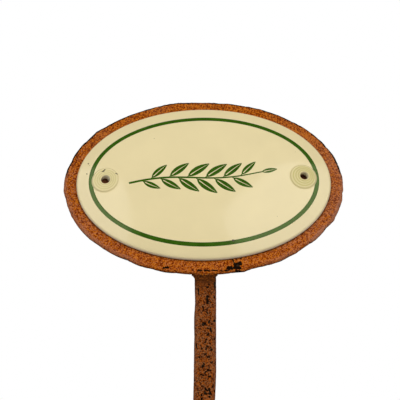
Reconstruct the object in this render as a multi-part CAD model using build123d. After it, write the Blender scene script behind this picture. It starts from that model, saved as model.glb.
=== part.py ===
from build123d import *
import os
from math import atan, degrees, sin, pi

# Plant label stake: an oval enamel sign bonded to an oval steel plate, which is welded to a square steel bar
# with a forged point. Millimetres, +Z up, the sign faces -Y, and the origin is on the bar's axis at the soil line.

# Heights along the bar
head_height = 150.0
bar_above_head_centre = 4.0
bar_below_soil = 110.0

# Square bar
bar_side = 8.0
bar_corner_radius = 1.3
bar_end_chamfer = 0.8
end_chamfer_share = 0.8
point_length = 30.0
point_tip_side = 1.6

# Back plate, an oval that shows as a rim of even width round the sign
plate_thickness = 3.0
plate_rim = 5.5
plate_edge_radius = 1.2
full_round_share = 0.42

# Enamel sign, a domed pressing
sign_width = 105.0
sign_height = 70.0
sign_crown = 3.3
crown_power = 2.0
crown_reach_share = 0.86
crown_step_shares = (0.04, 0.12, 0.25, 0.42, 0.62, 0.82)

# Layers of the sign, from its front to its back
cover_coat = 0.3
ground_coat = 0.12
blank_thickness = 0.7
print_thickness = 0.1
rim_step = 0.16

# Two raised pads with an open screw hole in each
pad_inset = 11.7
pad_radius = 5.5
pad_rise = 0.55
pad_flare = 0.45
hole_radius = 1.8

# Green border line, between two ovals
line_inset = 4.75
line_width = 1.75
line_pad_gap = 0.15

# Green leaf sprig across the middle of the sign, as long as the room between the pads allows
sprig_pad_gap = 4.5
stem_sway = 4.6
stem_width = 0.8
leaf_length = 10.6
leaf_half_width = 1.65
leaf_stalk = 0.9
leaf_angle = 40.0
leaves_each_side = 6
stem_place_shares = ((0.0, -0.5), (0.26, -0.22), (0.5, 0.0), (0.74, 0.24), (1.0, 0.5))
first_leaf_share = 0.1
last_leaf_share = 0.92
least_leaf_share = 0.62
stagger_share = 0.5

# Adhesive bead between the sign and the back plate
bead_inset = 17.0
bead_width = 5.0

# Welds
side_weld_leg = 3.2
side_weld_length = 34.0
side_weld_bulge = 0.35
weld_end_share = 0.45
weld_taper = 2.6
front_weld_flare = 1.3
front_weld_drop = 1.9
front_weld_toe = 0.35

# One length by which every cutting tool runs past what it cuts
overrun = 5.0

bar_half = bar_side / 2
plate_back = -bar_half
plate_front = plate_back - plate_thickness
sign_half_width = sign_width / 2
sign_half_height = sign_height / 2
plate_half_width = sign_half_width + plate_rim
plate_half_height = sign_half_height + plate_rim
sign_edge_height = cover_coat + 2 * ground_coat + blank_thickness + rim_step
crown_reach = crown_reach_share * sign_half_height
pad_offset = sign_half_width - pad_inset
plate_bottom = head_height - plate_half_height
tool_height = sign_edge_height + sign_crown + pad_rise + overrun
plate_round = min(plate_edge_radius, full_round_share * plate_thickness)
sprig_end = pad_offset - pad_radius - sprig_pad_gap
end_leaf_length = leaf_length * least_leaf_share
stem_length = 2 * sprig_end - leaf_stalk - end_leaf_length

# Drawn flat with X to the right and Y up, and turned so that its normal looks out of the front
head = Plane(origin=(0, plate_front, head_height), x_dir=(1, 0, 0), z_dir=(0, -1, 0))


def crown_height(inset):
    """Height of the sign's front above the back plate, this far in from its edge."""
    left = 1 - min(inset / crown_reach, 1)
    return sign_edge_height + sign_crown * (1 - left**crown_power)


def crown_slope(inset):
    """Angle in degrees between the sign's front and the back plate, this far in from its edge."""
    left = 1 - min(inset / crown_reach, 1)
    return degrees(atan(sign_crown * crown_power * left ** (crown_power - 1) / crown_reach))


def oval(half_width, half_height, height=0):
    """Flat oval face at a height above the back plate's front."""
    return Pos(0, 0, height) * Ellipse(half_width, half_height)


def pad_place(side):
    """Place on the back plate under one pad, turned so that the pad stands square to the dome."""
    height = crown_height(pad_inset)
    return Pos(side * pad_offset, 0, height) * Rot(0, side * crown_slope(pad_inset), 0) * Pos(0, 0, -height)


def pads(depth, wider=0):
    """Both raised pads, with their tops and flanks drawn in by depth."""
    tall = crown_height(pad_inset) + pad_rise - depth
    top = pad_radius - depth + wider
    foot = top + pad_flare * tall / pad_rise
    both = Part()
    for side in (-1, 1):
        both += pad_place(side) * Cone(foot, top, tall, align=(Align.CENTER, Align.CENTER, Align.MIN))
    return both


def dome(depth):
    """Solid between the back plate and the sign's front, all its faces drawn in by depth."""
    half_width = sign_half_width - depth
    half_height = sign_half_height - depth
    edge = sign_edge_height - depth
    insets = [share * crown_reach for share in crown_step_shares] + [crown_reach]
    steps = [oval(half_width, half_height, edge)]
    steps += [oval(half_width - i, half_height - i, crown_height(i) - depth) for i in insets]
    rim = extrude(oval(half_width, half_height), edge)
    return rim + loft(steps)


def sign_form(depth):
    """The domed form with its pads, cut flush with the back plate's front."""
    raised = pads(depth) & extrude(oval(sign_half_width - depth, sign_half_height - depth), tool_height)
    return dome(depth) + raised


def screw_holes(radius):
    """Round tools for the open screw holes, square to the pads."""
    tools = Part()
    for side in (-1, 1):
        tools += pad_place(side) * Cylinder(radius, 2 * tool_height)
    return tools


def make_back_plate():
    """Oval plate with rounded edges, its front face where the sign sits."""
    plate = extrude(oval(plate_half_width, plate_half_height), -plate_thickness)
    return head * fillet(plate.edges(), plate_round)


def make_stake_bar():
    """Square bar with rolled corners, a square-cut top end and a forged four-sided point."""
    point_start = point_length - bar_below_soil
    section = RectangleRounded(bar_side, bar_side, bar_corner_radius)
    tip_radius = bar_corner_radius * point_tip_side / bar_side
    tip = RectangleRounded(point_tip_side, point_tip_side, tip_radius)
    shaft = Pos(0, 0, point_start) * extrude(section, head_height + bar_above_head_centre - point_start)
    end_chamfer = min(bar_end_chamfer, end_chamfer_share * bar_corner_radius)
    shaft = chamfer(shaft.faces().sort_by(Axis.Z)[-1].edges(), end_chamfer)
    point = loft([Pos(0, 0, -bar_below_soil) * tip, Pos(0, 0, point_start) * section], ruled=True)
    return shaft + point


def make_front_weld(bar, plate):
    """Bead under the plate's lower edge, wider than the bar at the top and level with it at the foot."""
    top = plate_bottom + plate_round / 2
    foot = plate_bottom - front_weld_drop
    back = plate_back + bar_corner_radius
    front = plate_front + plate_round / 4
    wide = bar_side + 2 * front_weld_flare
    steps = []
    for height, width, face in (
        (foot, bar_side, plate_back - front_weld_toe),
        (plate_bottom, wide, front),
        (top, wide, front),
    ):
        middle = (face + back) / 2
        steps.append(Pos(0, middle, height) * Rectangle(width, back - face))
    return loft(steps, ruled=True) - bar - plate


def weld_section(leg):
    """Fillet weld's section in the corner between the plate's back and the bar's side."""
    pocket = bar_half - bar_corner_radius
    out = (bar_half + leg, plate_back)
    up = (bar_half, plate_back + leg)
    bulge = leg * (1 + side_weld_bulge) / 2
    crest = (bar_half + bulge, plate_back + bulge)
    corner = (pocket, plate_back)
    rise = (pocket, plate_back + leg)
    edge = Line(corner, out) + ThreePointArc(out, crest, up) + Line(up, rise) + Line(rise, corner)
    return make_face(edge)


def make_side_weld(bar, side):
    """Fillet weld up one flank of the bar, with tapered ends."""
    start = plate_bottom + plate_round
    end = start + side_weld_length
    steps = []
    for height, share in (
        (start, weld_end_share),
        (start + weld_taper, 1),
        (end - weld_taper, 1),
        (end, weld_end_share),
    ):
        steps.append(Pos(0, 0, height) * weld_section(side_weld_leg * share))
    bead = loft(steps, ruled=True)
    bead = bead if side > 0 else mirror(bead, about=Plane.YZ)
    return bead - bar


def make_sign_blank():
    """Domed sheet steel pressing under the enamel, with both holes larger by the coat that lines them."""
    front = cover_coat + ground_coat
    blank = sign_form(front) - sign_form(front + blank_thickness)
    return head * (blank - screw_holes(hole_radius + ground_coat))


def make_ground_coat():
    """Dark first coat of enamel on both faces of the blank and down the walls of its holes."""
    back = cover_coat + 2 * ground_coat + blank_thickness
    skin = sign_form(cover_coat) - sign_form(back) - screw_holes(hole_radius)
    return head * skin - make_sign_blank()


def make_cover_coat():
    """Cream enamel over the front and the edge."""
    skin = sign_form(0) - sign_form(cover_coat) - screw_holes(hole_radius)
    return head * skin


def print_layer():
    """Thin layer that stands on the cream enamel, from which the fired prints are cut."""
    return dome(-print_thickness) - dome(0)


def make_border_line():
    """Green line at an even distance from the sign's edge, broken into by the pads."""
    outer = extrude(oval(sign_half_width - line_inset, sign_half_height - line_inset), tool_height)
    far = line_inset + line_width
    inner = extrude(oval(sign_half_width - far, sign_half_height - far), tool_height)
    return head * ((print_layer() & (outer - inner)) - pads(0, line_pad_gap))


def stem_curve():
    """The sprig's stem, a lazy S that rises to the right."""
    points = []
    for along, up in stem_place_shares:
        sway = stem_sway * (up + sin(2 * pi * along) / 4)
        points.append((stem_length * along - sprig_end, sway))
    return Spline(*points)


def leaf(base, heading, length):
    """Pointed leaf with its stalk end at base."""
    half = leaf_half_width * length / leaf_length
    tip = (length + leaf_stalk, 0)
    foot = (leaf_stalk, 0)
    middle = leaf_stalk + length / 2
    blade = make_face(ThreePointArc(foot, (middle, half), tip) + ThreePointArc(tip, (middle, -half), foot))
    stalk = Pos(leaf_stalk, 0) * Rectangle(2 * leaf_stalk, stem_width / 2)
    return Pos(base.X, base.Y) * Rot(0, 0, heading) * (blade + stalk)


def make_leaf_sprig():
    """Green sprig with paired leaves up its stem and one more at its end."""
    stem = stem_curve()
    shape = trace(stem, stem_width)
    reach = last_leaf_share - first_leaf_share
    for side in (-1, 1):
        for number in range(leaves_each_side):
            stagger = stagger_share if side > 0 else 0
            share = first_leaf_share + reach * (number + stagger) / leaves_each_side
            ahead = stem % share
            heading = degrees(atan(ahead.Y / ahead.X)) + side * leaf_angle
            swell = least_leaf_share + (1 - least_leaf_share) * sin(pi * share)
            shape += leaf(stem @ share, heading, leaf_length * swell)
    end = stem % 1
    shape += leaf(stem @ 1, degrees(atan(end.Y / end.X)), end_leaf_length)
    return head * (print_layer() & extrude(shape, tool_height))


def make_adhesive_bead():
    """Oval bead squeezed between the back plate and the sign's hollow back."""
    back = cover_coat + 2 * ground_coat + blank_thickness
    outer = extrude(oval(sign_half_width - bead_inset, sign_half_height - bead_inset), tool_height)
    far = bead_inset + bead_width
    inner = extrude(oval(sign_half_width - far, sign_half_height - far), tool_height)
    return head * (sign_form(back) & (outer - inner))


def main():
    os.makedirs("parts", exist_ok=True)
    bar = make_stake_bar()
    plate = make_back_plate()
    nodes = {
        "stake_bar": bar,
        "back_plate": plate,
        "weld_front": make_front_weld(bar, plate),
        "weld_left": make_side_weld(bar, -1),
        "weld_right": make_side_weld(bar, 1),
        "sign_blank": make_sign_blank(),
        "ground_coat": make_ground_coat(),
        "cream_enamel": make_cover_coat(),
        "border_line": make_border_line(),
        "leaf_sprig": make_leaf_sprig(),
        "adhesive_bead": make_adhesive_bead(),
    }
    for name, shape in nodes.items():
        export_step(shape, f"parts/{name}.step")


main()
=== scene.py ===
import math
import random

import bmesh
import bpy
import numpy as np
from bpy.props import FloatProperty, FloatVectorProperty, IntProperty, PointerProperty
from mathutils import Matrix, Vector, geometry, noise


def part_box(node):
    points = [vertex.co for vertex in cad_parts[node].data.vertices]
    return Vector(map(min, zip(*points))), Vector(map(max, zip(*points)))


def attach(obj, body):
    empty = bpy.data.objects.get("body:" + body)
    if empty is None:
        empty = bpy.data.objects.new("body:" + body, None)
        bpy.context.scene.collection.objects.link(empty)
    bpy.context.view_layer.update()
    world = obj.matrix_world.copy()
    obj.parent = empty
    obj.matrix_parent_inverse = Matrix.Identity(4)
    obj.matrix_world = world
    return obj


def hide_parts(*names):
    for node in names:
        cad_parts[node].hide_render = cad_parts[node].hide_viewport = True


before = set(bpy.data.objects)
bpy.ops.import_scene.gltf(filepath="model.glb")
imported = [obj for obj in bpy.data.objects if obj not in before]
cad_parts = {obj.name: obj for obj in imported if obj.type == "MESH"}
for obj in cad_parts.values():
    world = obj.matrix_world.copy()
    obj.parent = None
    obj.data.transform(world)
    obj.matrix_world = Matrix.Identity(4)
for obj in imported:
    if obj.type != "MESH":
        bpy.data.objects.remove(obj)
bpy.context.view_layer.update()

bl_info = {
    "name": "Plant Label Stake",
    "version": (1, 0, 0),
    "blender": (4, 5, 0),
    "location": "3D View > Sidebar > Label Stake",
    "description": "Finishes a plant label stake in enamel, fired prints and rusted steel",
    "category": "Object",
}

MM = 0.001
BODY = "root"

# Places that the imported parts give, in metres
COAT_LOW, COAT_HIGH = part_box("cream_enamel")
PLATE_LOW, PLATE_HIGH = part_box("back_plate")
BAR_LOW, BAR_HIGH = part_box("stake_bar")
SPRIG_LOW, SPRIG_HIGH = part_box("leaf_sprig")
SEAT = PLATE_LOW.y
HEAD_HEIGHT = (COAT_LOW.z + COAT_HIGH.z) / 2

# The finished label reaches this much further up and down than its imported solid
COAT_MORE = 0.1 * MM
LABEL_HALF_HEIGHT = (COAT_HIGH.z - COAT_LOW.z) / 2 + COAT_MORE


def length(name, value, description):
    """A length that a user can set, in metres."""
    return FloatProperty(name=name, description=description, default=value, unit="LENGTH", precision=5)


def share(name, value, description):
    """A number from 0 to 1 that a user can set."""
    return FloatProperty(name=name, description=description, default=value, min=0, max=1, subtype="FACTOR")


def angle(name, value, description):
    """An angle that a user can set, given here in degrees."""
    return FloatProperty(name=name, description=description, default=math.radians(value), subtype="ANGLE")


def colour(name, value, description):
    """A colour that a user can set, in linear red, green and blue."""
    return FloatVectorProperty(
        name=name, description=description, default=(*value, 1), size=4, min=0, max=1, subtype="COLOR"
    )


class LabelSizes(bpy.types.PropertyGroup):
    """Sizes of the domed enamel label."""

    half_width: length("Half width", COAT_HIGH.x, "Half of the label's width")
    half_height: length("Half height", LABEL_HALF_HEIGHT, "Half of the label's height")
    edge_height: length("Edge height", 1.7 * MM, "Height of the label's edge above the plate")
    edge_round: length("Edge round", 0.95 * MM, "Radius where the front turns down into the edge")
    foot_tuck: length("Foot tuck", 0.2 * MM, "How far the edge draws in at its foot")
    crown: length("Crown", 3.0 * MM, "Rise of the dome from edge to middle")
    crown_reach: length("Crown reach", 30.1 * MM, "How far in from the edge the dome goes on rising")
    coat: length("Coat", 0.25 * MM, "Thickness of the cream enamel")
    grid: length("Grid", 0.85 * MM, "Spacing of the mesh on the open front")
    peel: length("Orange peel", 0.005 * MM, "Height of the slow waves in the fired enamel")
    peel_size: length("Peel size", 7.0 * MM, "Length of those waves")


class PadSizes(bpy.types.PropertyGroup):
    """Sizes of the two raised pads and their screw holes."""

    inset: length("Inset", 11.85 * MM, "Distance of a pad's centre from the label's edge")
    shift: length("Shift", 0.3 * MM, "How far both pads stand to the right of the middle")
    lift: length("Lift", 0.22 * MM, "How far both pads stand above the middle")
    turn: angle("Turn", 0.83, "Turn of the line through both pads")
    radius: length("Radius", 5.42 * MM, "Radius in the middle of the pad's shoulder")
    rise: length("Rise", 0.55 * MM, "Height of the pad above the dome")
    shoulder: length("Shoulder", 0.38 * MM, "Half of the shoulder's width")
    ring_depth: length("Ring depth", 0.06 * MM, "Depth of the faint rings round the hole")
    ring_width: length("Ring width", 0.23 * MM, "Half width of each faint ring")
    hole_radius: length("Hole radius", 1.62 * MM, "Radius of the screw hole inside the enamel")
    mouth: length("Mouth", 0.62 * MM, "Radius where the pad turns down into the hole")
    bore: length("Bore", 2.4 * MM, "How far the cream enamel runs on down the hole")
    hole_out: length("Hole outwards", 0.14 * MM, "How far each hole stands out from the pad's middle")
    hole_right: length("Hole right", 0.33 * MM, "How far both holes stand to the right of that place")
    hole_up: length("Hole upwards", 0.28 * MM, "How far each hole stands above the pad's middle")
    hole_climb: length("Hole climb", 0.14 * MM, "How much higher the right hole stands, and lower the left")
    hole_drift: angle("Hole drift", 12, "How far both holes lean to the left as they go in")


class PrintSizes(bpy.types.PropertyGroup):
    """Sizes of the fired green line and sprig."""

    height: length("Print height", 0.045 * MM, "How far a print stands above the cream")
    sink: length("Print sink", 0.03 * MM, "How far a print's edge lies in the cream")
    line_inset: length("Line inset", 4.92 * MM, "Distance of the line from the label's edge")
    line_inset_ends: length("Line inset at the ends", 5.10 * MM, "The same at the left and right ends")
    shift_right: length("Shift right", 0.12 * MM, "How far the prints lie to the right of the middle")
    shift_up: length("Shift up", 0.09 * MM, "How far the prints lie above the middle")
    turn: angle("Turn", 0.27, "Turn of the prints on the label")
    line_width: length("Line width", 1.84 * MM, "Width of the line")
    line_gap: length("Line gap", 0.2 * MM, "Gap between the line and a pad's shoulder")
    stem_foot: length("Stem foot", 1.0 * MM, "Width of the stem at its foot")
    stem_tip: length("Stem tip", 0.55 * MM, "Width of the stem at its tip")
    stem_sway: length("Stem sway", 4.6 * MM, "How far the stem rises from foot to tip")
    leaf_length: length("Leaf length", 10.6 * MM, "Length of the longest leaves")
    leaf_half_width: length("Leaf half width", 1.75 * MM, "Half of the width of the longest leaves")
    leaf_stalk: length("Leaf stalk", 0.9 * MM, "Length of the stalk between stem and leaf")
    stalk_width: length("Stalk width", 0.42 * MM, "Width of that stalk")
    midrib: length("Midrib", 0.34 * MM, "Width of the bare midrib at a leaf's foot")
    leaf_angle: angle("Leaf angle", 40, "Angle between a leaf and the stem")
    leaves_each_side: IntProperty(name="Leaves each side", description="Leaves up one side", default=6, min=1)
    least_leaf: share("Least leaf", 0.62, "Length of the shortest leaf against the longest")


class SteelSizes(bpy.types.PropertyGroup):
    """Sizes of the rusted plate, bar and welds."""

    plate_round: length("Plate round", 1.2 * MM, "Radius of the plate's edges")
    plate_grid: length("Plate grid", 0.45 * MM, "Spacing of the mesh on the plate's rim")
    back_grid: length("Back grid", 1.05 * MM, "Spacing of the mesh on the plate's back")
    corner: length("Bar corner", 1.3 * MM, "Radius of the bar's rolled corners")
    end_chamfer: length("End chamfer", 0.8 * MM, "Chamfer at the bar's top end")
    point: length("Point", 30.0 * MM, "Length of the forged point")
    tip_half: length("Tip half width", 0.8 * MM, "Half of the point's width at its tip")
    bar_grid: length("Bar grid", 0.34 * MM, "Spacing of the mesh along the bar")
    plate_relief: length("Plate relief", 0.13 * MM, "Depth of the rust's roughness on the plate")
    bar_relief: length("Bar relief", 0.2 * MM, "Depth of the rust's roughness on the bar")
    arris_wear: length("Arris wear", 0.3 * MM, "Depth of the uneven places along the bar's arrises")
    edge_wear: length("Edge wear", 0.12 * MM, "Depth of the uneven places along the plate's arrises")
    pit_depth: length("Pit depth", 0.3 * MM, "Depth of the deepest pits")
    weld_ripple: length("Weld ripple", 1.3 * MM, "Spacing of the ripples in a weld")
    weld_bulge: share("Weld bulge", 0.35, "How far a side weld stands out from a flat face")


class Colours(bpy.types.PropertyGroup):
    """Colours of the finishes, and the floor's."""

    cream: colour("Cream", (0.80, 0.68, 0.385), "Cream cover coat")
    # Painted shade on the cream, and the darker cream where it lies thin over the dark coat
    cream_shade_and_thin: colour("Thin cream", (0.36, 0.285, 0.15), "Cream where it lies thin over the dark coat")
    # This colour paints highlights down the label's edge and on the hole walls
    cream_pale: colour("Pale cream", (0.74, 0.71, 0.62), "Cream along its rounded edge")
    green: colour("Green", (0.024, 0.078, 0.0015), "Fired green")
    ground: colour("Ground coat", (0.050, 0.030, 0.028), "Dark first coat")
    rust_dark: colour("Dark rust", (0.120, 0.014, 0.0002), "Hollows of the plate's rust")
    rust_middle: colour("Middle rust", (0.300, 0.054, 0.0015), "Body of the plate's rust")
    rust_bright: colour("Bright rust", (0.540, 0.155, 0.009), "Crests of the plate's rust")
    # Also the painted highlight and sheen on the plate, and the pink of its covered part
    rust_pink: colour("Pink rust", (0.340, 0.150, 0.092), "Paler bloom on the plate's rust")
    # Pale grains in the rust that also paint its fine glints
    rust_dust_and_glint: colour("Rust dust", (0.500, 0.175, 0.070), "Pale grains in the plate's rust")
    bar_dark: colour("Dark bar", (0.026, 0.005, 0.0008), "Hollows of the bar's rust")
    bar_middle: colour("Middle bar", (0.134, 0.026, 0.002), "Body of the bar's rust")
    bar_bright: colour("Bright bar", (0.310, 0.076, 0.007), "Crests of the bar's rust")
    # Also the painted highlight on the bar's corners
    bar_pink: colour("Pink bar", (0.170, 0.065, 0.032), "Paler bloom on the bar's rust")
    # Pale grains in the bar's rust that also paint its fine glints
    bar_dust_and_glint: colour("Bar dust", (0.262, 0.108, 0.042), "Pale grains in the bar's rust")
    # Painted shade on the steel: the plate's edges, round the label, its underside, its covered part and all
    # but its lowest stretch, and the bar and welds under the plate
    painted_shade: colour("Burnt", (0.070, 0.019, 0.004), "Steel that the weld or the damp has darkened")
    # Also the black of the plate's painted shaded edge
    scale: colour("Scale", (0.009, 0.003, 0.0012), "Black mill scale in the pits")
    scale_grey: colour("Grey scale", (0.032, 0.019, 0.010), "Greyer flecks in the mill scale")
    sheet: colour("Sheet", (0.30, 0.30, 0.31), "Sheet steel of the blank")
    adhesive: colour("Adhesive", (0.72, 0.72, 0.68), "Cured bead behind the label")
    speck: colour("Speck", (0.050, 0.032, 0.008), "Small brown specks in the enamel")
    floor: colour("Floor", (0.86, 0.85, 0.83), "Plain floor")


class StudioSizes(bpy.types.PropertyGroup):
    """The camera and the soft lights."""

    distance: length("Distance", 400 * MM, "Camera to the plate's front")
    tilt: angle("Tilt", 28.3, "How far the camera looks up")
    yaw: angle("Yaw", -0.35, "How far the camera stands to the side")
    roll: angle("Roll", -0.39, "Turn of the camera about its axis")
    sensor: FloatProperty(name="Sensor", description="Sensor width in millimetres", default=36.0)
    lens_pixels: FloatProperty(name="Focal length", description="Focal length in pixels", default=967.0)
    head_pixel_x: FloatProperty(name="Head across", description="Pixel of the head's centre", default=203.65)
    head_pixel_y: FloatProperty(name="Head down", description="Pixel of the head's centre", default=183.1)
    panel_front: length("Panel distance", 907 * MM, "How far in front the two panels stand")
    panel_glow: FloatProperty(name="Panel glow", description="Brightness of the two panels", default=3.0)
    back_glow: FloatProperty(name="Back glow", description="Brightness of the rear light", default=1.2)
    room_glow: FloatProperty(name="Room glow", description="Brightness of the room", default=0.265)
    room_mirrored: FloatProperty(name="Room in gloss", description="The same in a gloss", default=0.17)


class LabelStakeSettings(bpy.types.PropertyGroup):
    """Everything that a user can set."""

    label: PointerProperty(type=LabelSizes)
    pads: PointerProperty(type=PadSizes)
    prints: PointerProperty(type=PrintSizes)
    steel: PointerProperty(type=SteelSizes)
    colours: PointerProperty(type=Colours)
    studio: PointerProperty(type=StudioSizes)


def settings():
    """The settings kept with the scene."""
    return bpy.context.scene.label_stake


# Numbers and fields

# How fast the finer layers of a noise lose height, and how much finer each is than the last
NOISE_DECAY = 1.0
NOISE_STEP = 2.0

# A stroke's shade is full inside the first share of its radius, and gone outside the second
STROKE_FULL = 0.55
STROKE_GONE = 1.3
TINY = 1e-6


def smooth(low, high, value):
    """0 below low, 1 above high, and a smooth rise between them."""
    t = np.clip((np.asarray(value, float) - low) / (high - low), 0, 1)
    return t * t * (3 - 2 * t)


def waves(points, size, seed=0, octaves=3):
    """Smooth noise at each point, about -1 to 1, whose largest features have that size."""
    away = Vector((seed, 2 * seed, -seed))
    places = (Vector(p) / size + away for p in points)
    return np.array([noise.fractal(place, NOISE_DECAY, NOISE_STEP, octaves) for place in places])


def stroke_shade(points, start, end, radius):
    """1 inside a round-ended stroke from start to end, 0 outside it, with a soft border."""
    start, along = np.array(start, float), np.array(end, float) - np.array(start, float)
    reach = along @ along
    t = np.clip(((points - start) @ along) / reach, 0, 1) if reach > 0 else np.zeros(len(points))
    away = np.linalg.norm(points - start - t[:, None] * along, axis=1)
    return 1 - smooth(STROKE_FULL * radius, STROKE_GONE * radius, away)


# Meshes


def grid_faces(rows, columns, start=0, closed=True):
    """Quads between neighbouring rows of points, which go round if closed."""
    faces = []
    for i in range(rows - 1):
        for j in range(columns if closed else columns - 1):
            a, b = start + i * columns + j, start + i * columns + (j + 1) % columns
            faces.append((a, a + columns, b + columns, b))
    return faces


def fan_faces(centre, ring):
    """Triangles from a centre point to a closed ring."""
    return [(centre, ring[k], ring[(k + 1) % len(ring)]) for k in range(len(ring))]


def make_object(name, points, faces):
    """A smooth mesh object whose faces all look outwards."""
    mesh = bpy.data.meshes.new(name)
    mesh.from_pydata([tuple(p) for p in points], [], faces)
    shape = bmesh.new()
    shape.from_mesh(mesh)
    bmesh.ops.recalc_face_normals(shape, faces=shape.faces)
    shape.to_mesh(mesh)
    shape.free()
    mesh.polygons.foreach_set("use_smooth", [True] * len(mesh.polygons))
    made = bpy.data.objects.new(name, mesh)
    bpy.context.scene.collection.objects.link(made)
    return made


def points_of(piece):
    """The piece's points as an array."""
    points = np.empty(3 * len(piece.data.vertices), np.float32)
    piece.data.vertices.foreach_get("co", points)
    return points.reshape(-1, 3).astype(float)


def press_in(piece, depth):
    """Moves each point inwards along its normal by its own depth."""
    normals = np.empty(3 * len(piece.data.vertices), np.float32)
    piece.data.vertices.foreach_get("normal", normals)
    moved = points_of(piece) - normals.reshape(-1, 3) * np.asarray(depth)[:, None]
    piece.data.vertices.foreach_set("co", moved.astype(np.float32).ravel())
    piece.data.update()


def relief(weights, fine, slow):
    """A level and two waves, each as strong as its weight, from weights of (level, fine, slow)."""
    return weights[0] + weights[1] * fine + weights[2] * slow


def paint(piece, name, values):
    """Keeps one number for each point, which a material can read by name."""
    layer = piece.data.attributes.new(name, "FLOAT", "POINT")
    layer.data.foreach_set("value", np.clip(values, 0, 1).astype(np.float32))


def seat(piece, material, slot, *nodes):
    """Gives a piece its finish, and puts it on the body in the place of its plain parts."""
    piece.data.materials.append(material)
    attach(piece, BODY)
    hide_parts(*nodes)
    return piece


# The label's front, as a height above the plate

# Faint rings on a pad, as shares of its radius
PAD_RING_SHARES = (0.47, 0.63, 0.8)

# The search for a place's distance from the edge: how near the middle it goes, and how often it halves
INSET_MOST_SHARE = 0.9999
INSET_HALVINGS = 30


def inset_at(across, up, label):
    """How far in from the label's edge each place lies."""
    low = np.zeros(len(across))
    high = np.full(len(across), min(label.half_width, label.half_height) * INSET_MOST_SHARE)
    for _ in range(INSET_HALVINGS):
        middle = (low + high) / 2
        outside = (across / (label.half_width - middle)) ** 2 + (up / (label.half_height - middle)) ** 2 > 1
        high = np.where(outside, middle, high)
        low = np.where(outside, low, middle)
    return low


def dome_height(inset, label):
    """Height of the dome this far in from the edge."""
    left = 1 - np.minimum(inset / label.crown_reach, 1)
    return label.edge_height + label.crown * (1 - left**2)


def pad_frame(side, label, pads):
    """Centre of a pad's top as (across, up, height above the plate), and its lean in radians."""
    reach = side * (label.half_width - pads.inset)
    across = reach * math.cos(pads.turn) + pads.shift
    up = reach * math.sin(pads.turn) + pads.lift
    inset = label.half_width - abs(across)
    lean = math.atan(2 * label.crown * (1 - inset / label.crown_reach) / label.crown_reach)
    return across, up, float(dome_height(inset, label)) + pads.rise, side * lean


def ring_middle(radius, side, pads):
    """How far a ring of this radius stands from the pad's middle: most at the hole, not at the shoulder."""
    inner = pads.hole_radius + pads.mouth
    outer = pads.radius - pads.shoulder
    part = float(np.clip((outer - radius) / (outer - inner), 0, 1))
    out = side * pads.hole_out + pads.hole_right
    high = pads.hole_up + side * pads.hole_climb
    return out * part, high * part


def from_pad(across, up, side, label, pads, ring=None):
    """Distance of each place from the middle of one of a pad's rings, measured on the pad's top."""
    middle, level, _, lean = pad_frame(side, label, pads)
    out, high = ring_middle(pads.radius if ring is None else ring, side, pads)
    return np.hypot((across - middle) / math.cos(lean) - out, up - level - high)


def front_height(across, up, label, pads):
    """Height of the enamel's front above the plate, with its pads, rings and slow waves."""
    inset = inset_at(across, up, label)
    height = dome_height(inset, label)
    over = np.clip(label.edge_round - inset, 0, label.edge_round)
    height = height - (label.edge_round - np.sqrt(label.edge_round**2 - over**2))
    for side in (-1, 1):
        middle, _, top, lean = pad_frame(side, label, pads)
        away = from_pad(across, up, side, label, pads)
        flat = top - math.tan(lean) * (across - middle)
        for ring_share in PAD_RING_SHARES:
            ring = ring_share * pads.radius
            from_ring = from_pad(across, up, side, label, pads, ring) - ring
            flat = flat - pads.ring_depth * np.exp(-((from_ring / pads.ring_width) ** 2))
        on_pad = 1 - smooth(pads.radius - pads.shoulder, pads.radius + pads.shoulder, away)
        height = height * (1 - on_pad) + flat * on_pad
    places = np.stack([across, up, 0 * across], 1)
    return height + label.peel * waves(places, label.peel_size, seed=3, octaves=2)


def on_label(across, up, height):
    """Places on the head as points in the part's frame."""
    across, up, height = np.broadcast_arrays(across, up, height)
    return np.stack([across, SEAT - height, HEAD_HEIGHT + up], -1)


def oval_ring(half_width, half_height, count):
    """Places round an oval, anticlockwise from its right end."""
    turn = np.arange(count) * math.tau / count
    return half_width * np.cos(turn), half_height * np.sin(turn)


# Materials

# Sizes of the detail in the rust, and its gloss
RUST_PATCH = 5.0 * MM
RUST_BLOOM = 16.0 * MM
RUST_SPECKLE = 0.45 * MM
RUST_BUMP = 0.09 * MM
RUST_GLOSS = 0.02
RUST_COARSER = 2.1
RUST_ROUGHNESS = (0.95, 0.7)

# The rust's colour: shares of its fine grain, coarse grain, patches and relief, and the places of its colours
RUST_MIX = (0.56, 0.12, 0.15, 0.17)
RUST_STOPS = (0.25, 0.50, 0.75)

# The noise between these values makes a detail of the rust, and its strength there
CRISP = (0.34, 0.66)
BLOOM_RANGE = (0.5, 0.75)
BLOOM_STRENGTH = 0.18
# Where the fine speckle lets the painted highlight and sheen show, and their strength
PAINTED_LIGHT_RANGE = (0.36, 0.62)
PAINTED_LIGHT_STRENGTHS = (0.55, 1.0)
# The pale grains, which also paint the rust's fine glints
GRAIN_RANGE = (0.54, 0.67)
GRAIN_STRENGTH = 0.8
GREY_RANGE = (0.55, 1.0)

# Painted shade and black scale: how the fine and the coarse grain break up their borders
SHADE_MIX = (1.15, -0.38)
SHADE_RANGE = (0.0, 0.85)
SCALE_MIX = (1.0, -0.25, -0.2)
SCALE_RANGE = (0.1, 0.3)

# Sizes of the detail in the enamel, its gloss and its tints
ENAMEL_GLOSS = 0.25
GREEN_GLOSS = 0.32
GREEN_TINT = (1.0, 1.0, 0.62, 1.0)
CREAM_CLOUD = 14.0 * MM
CREAM_DEEPER = 0.965
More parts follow.
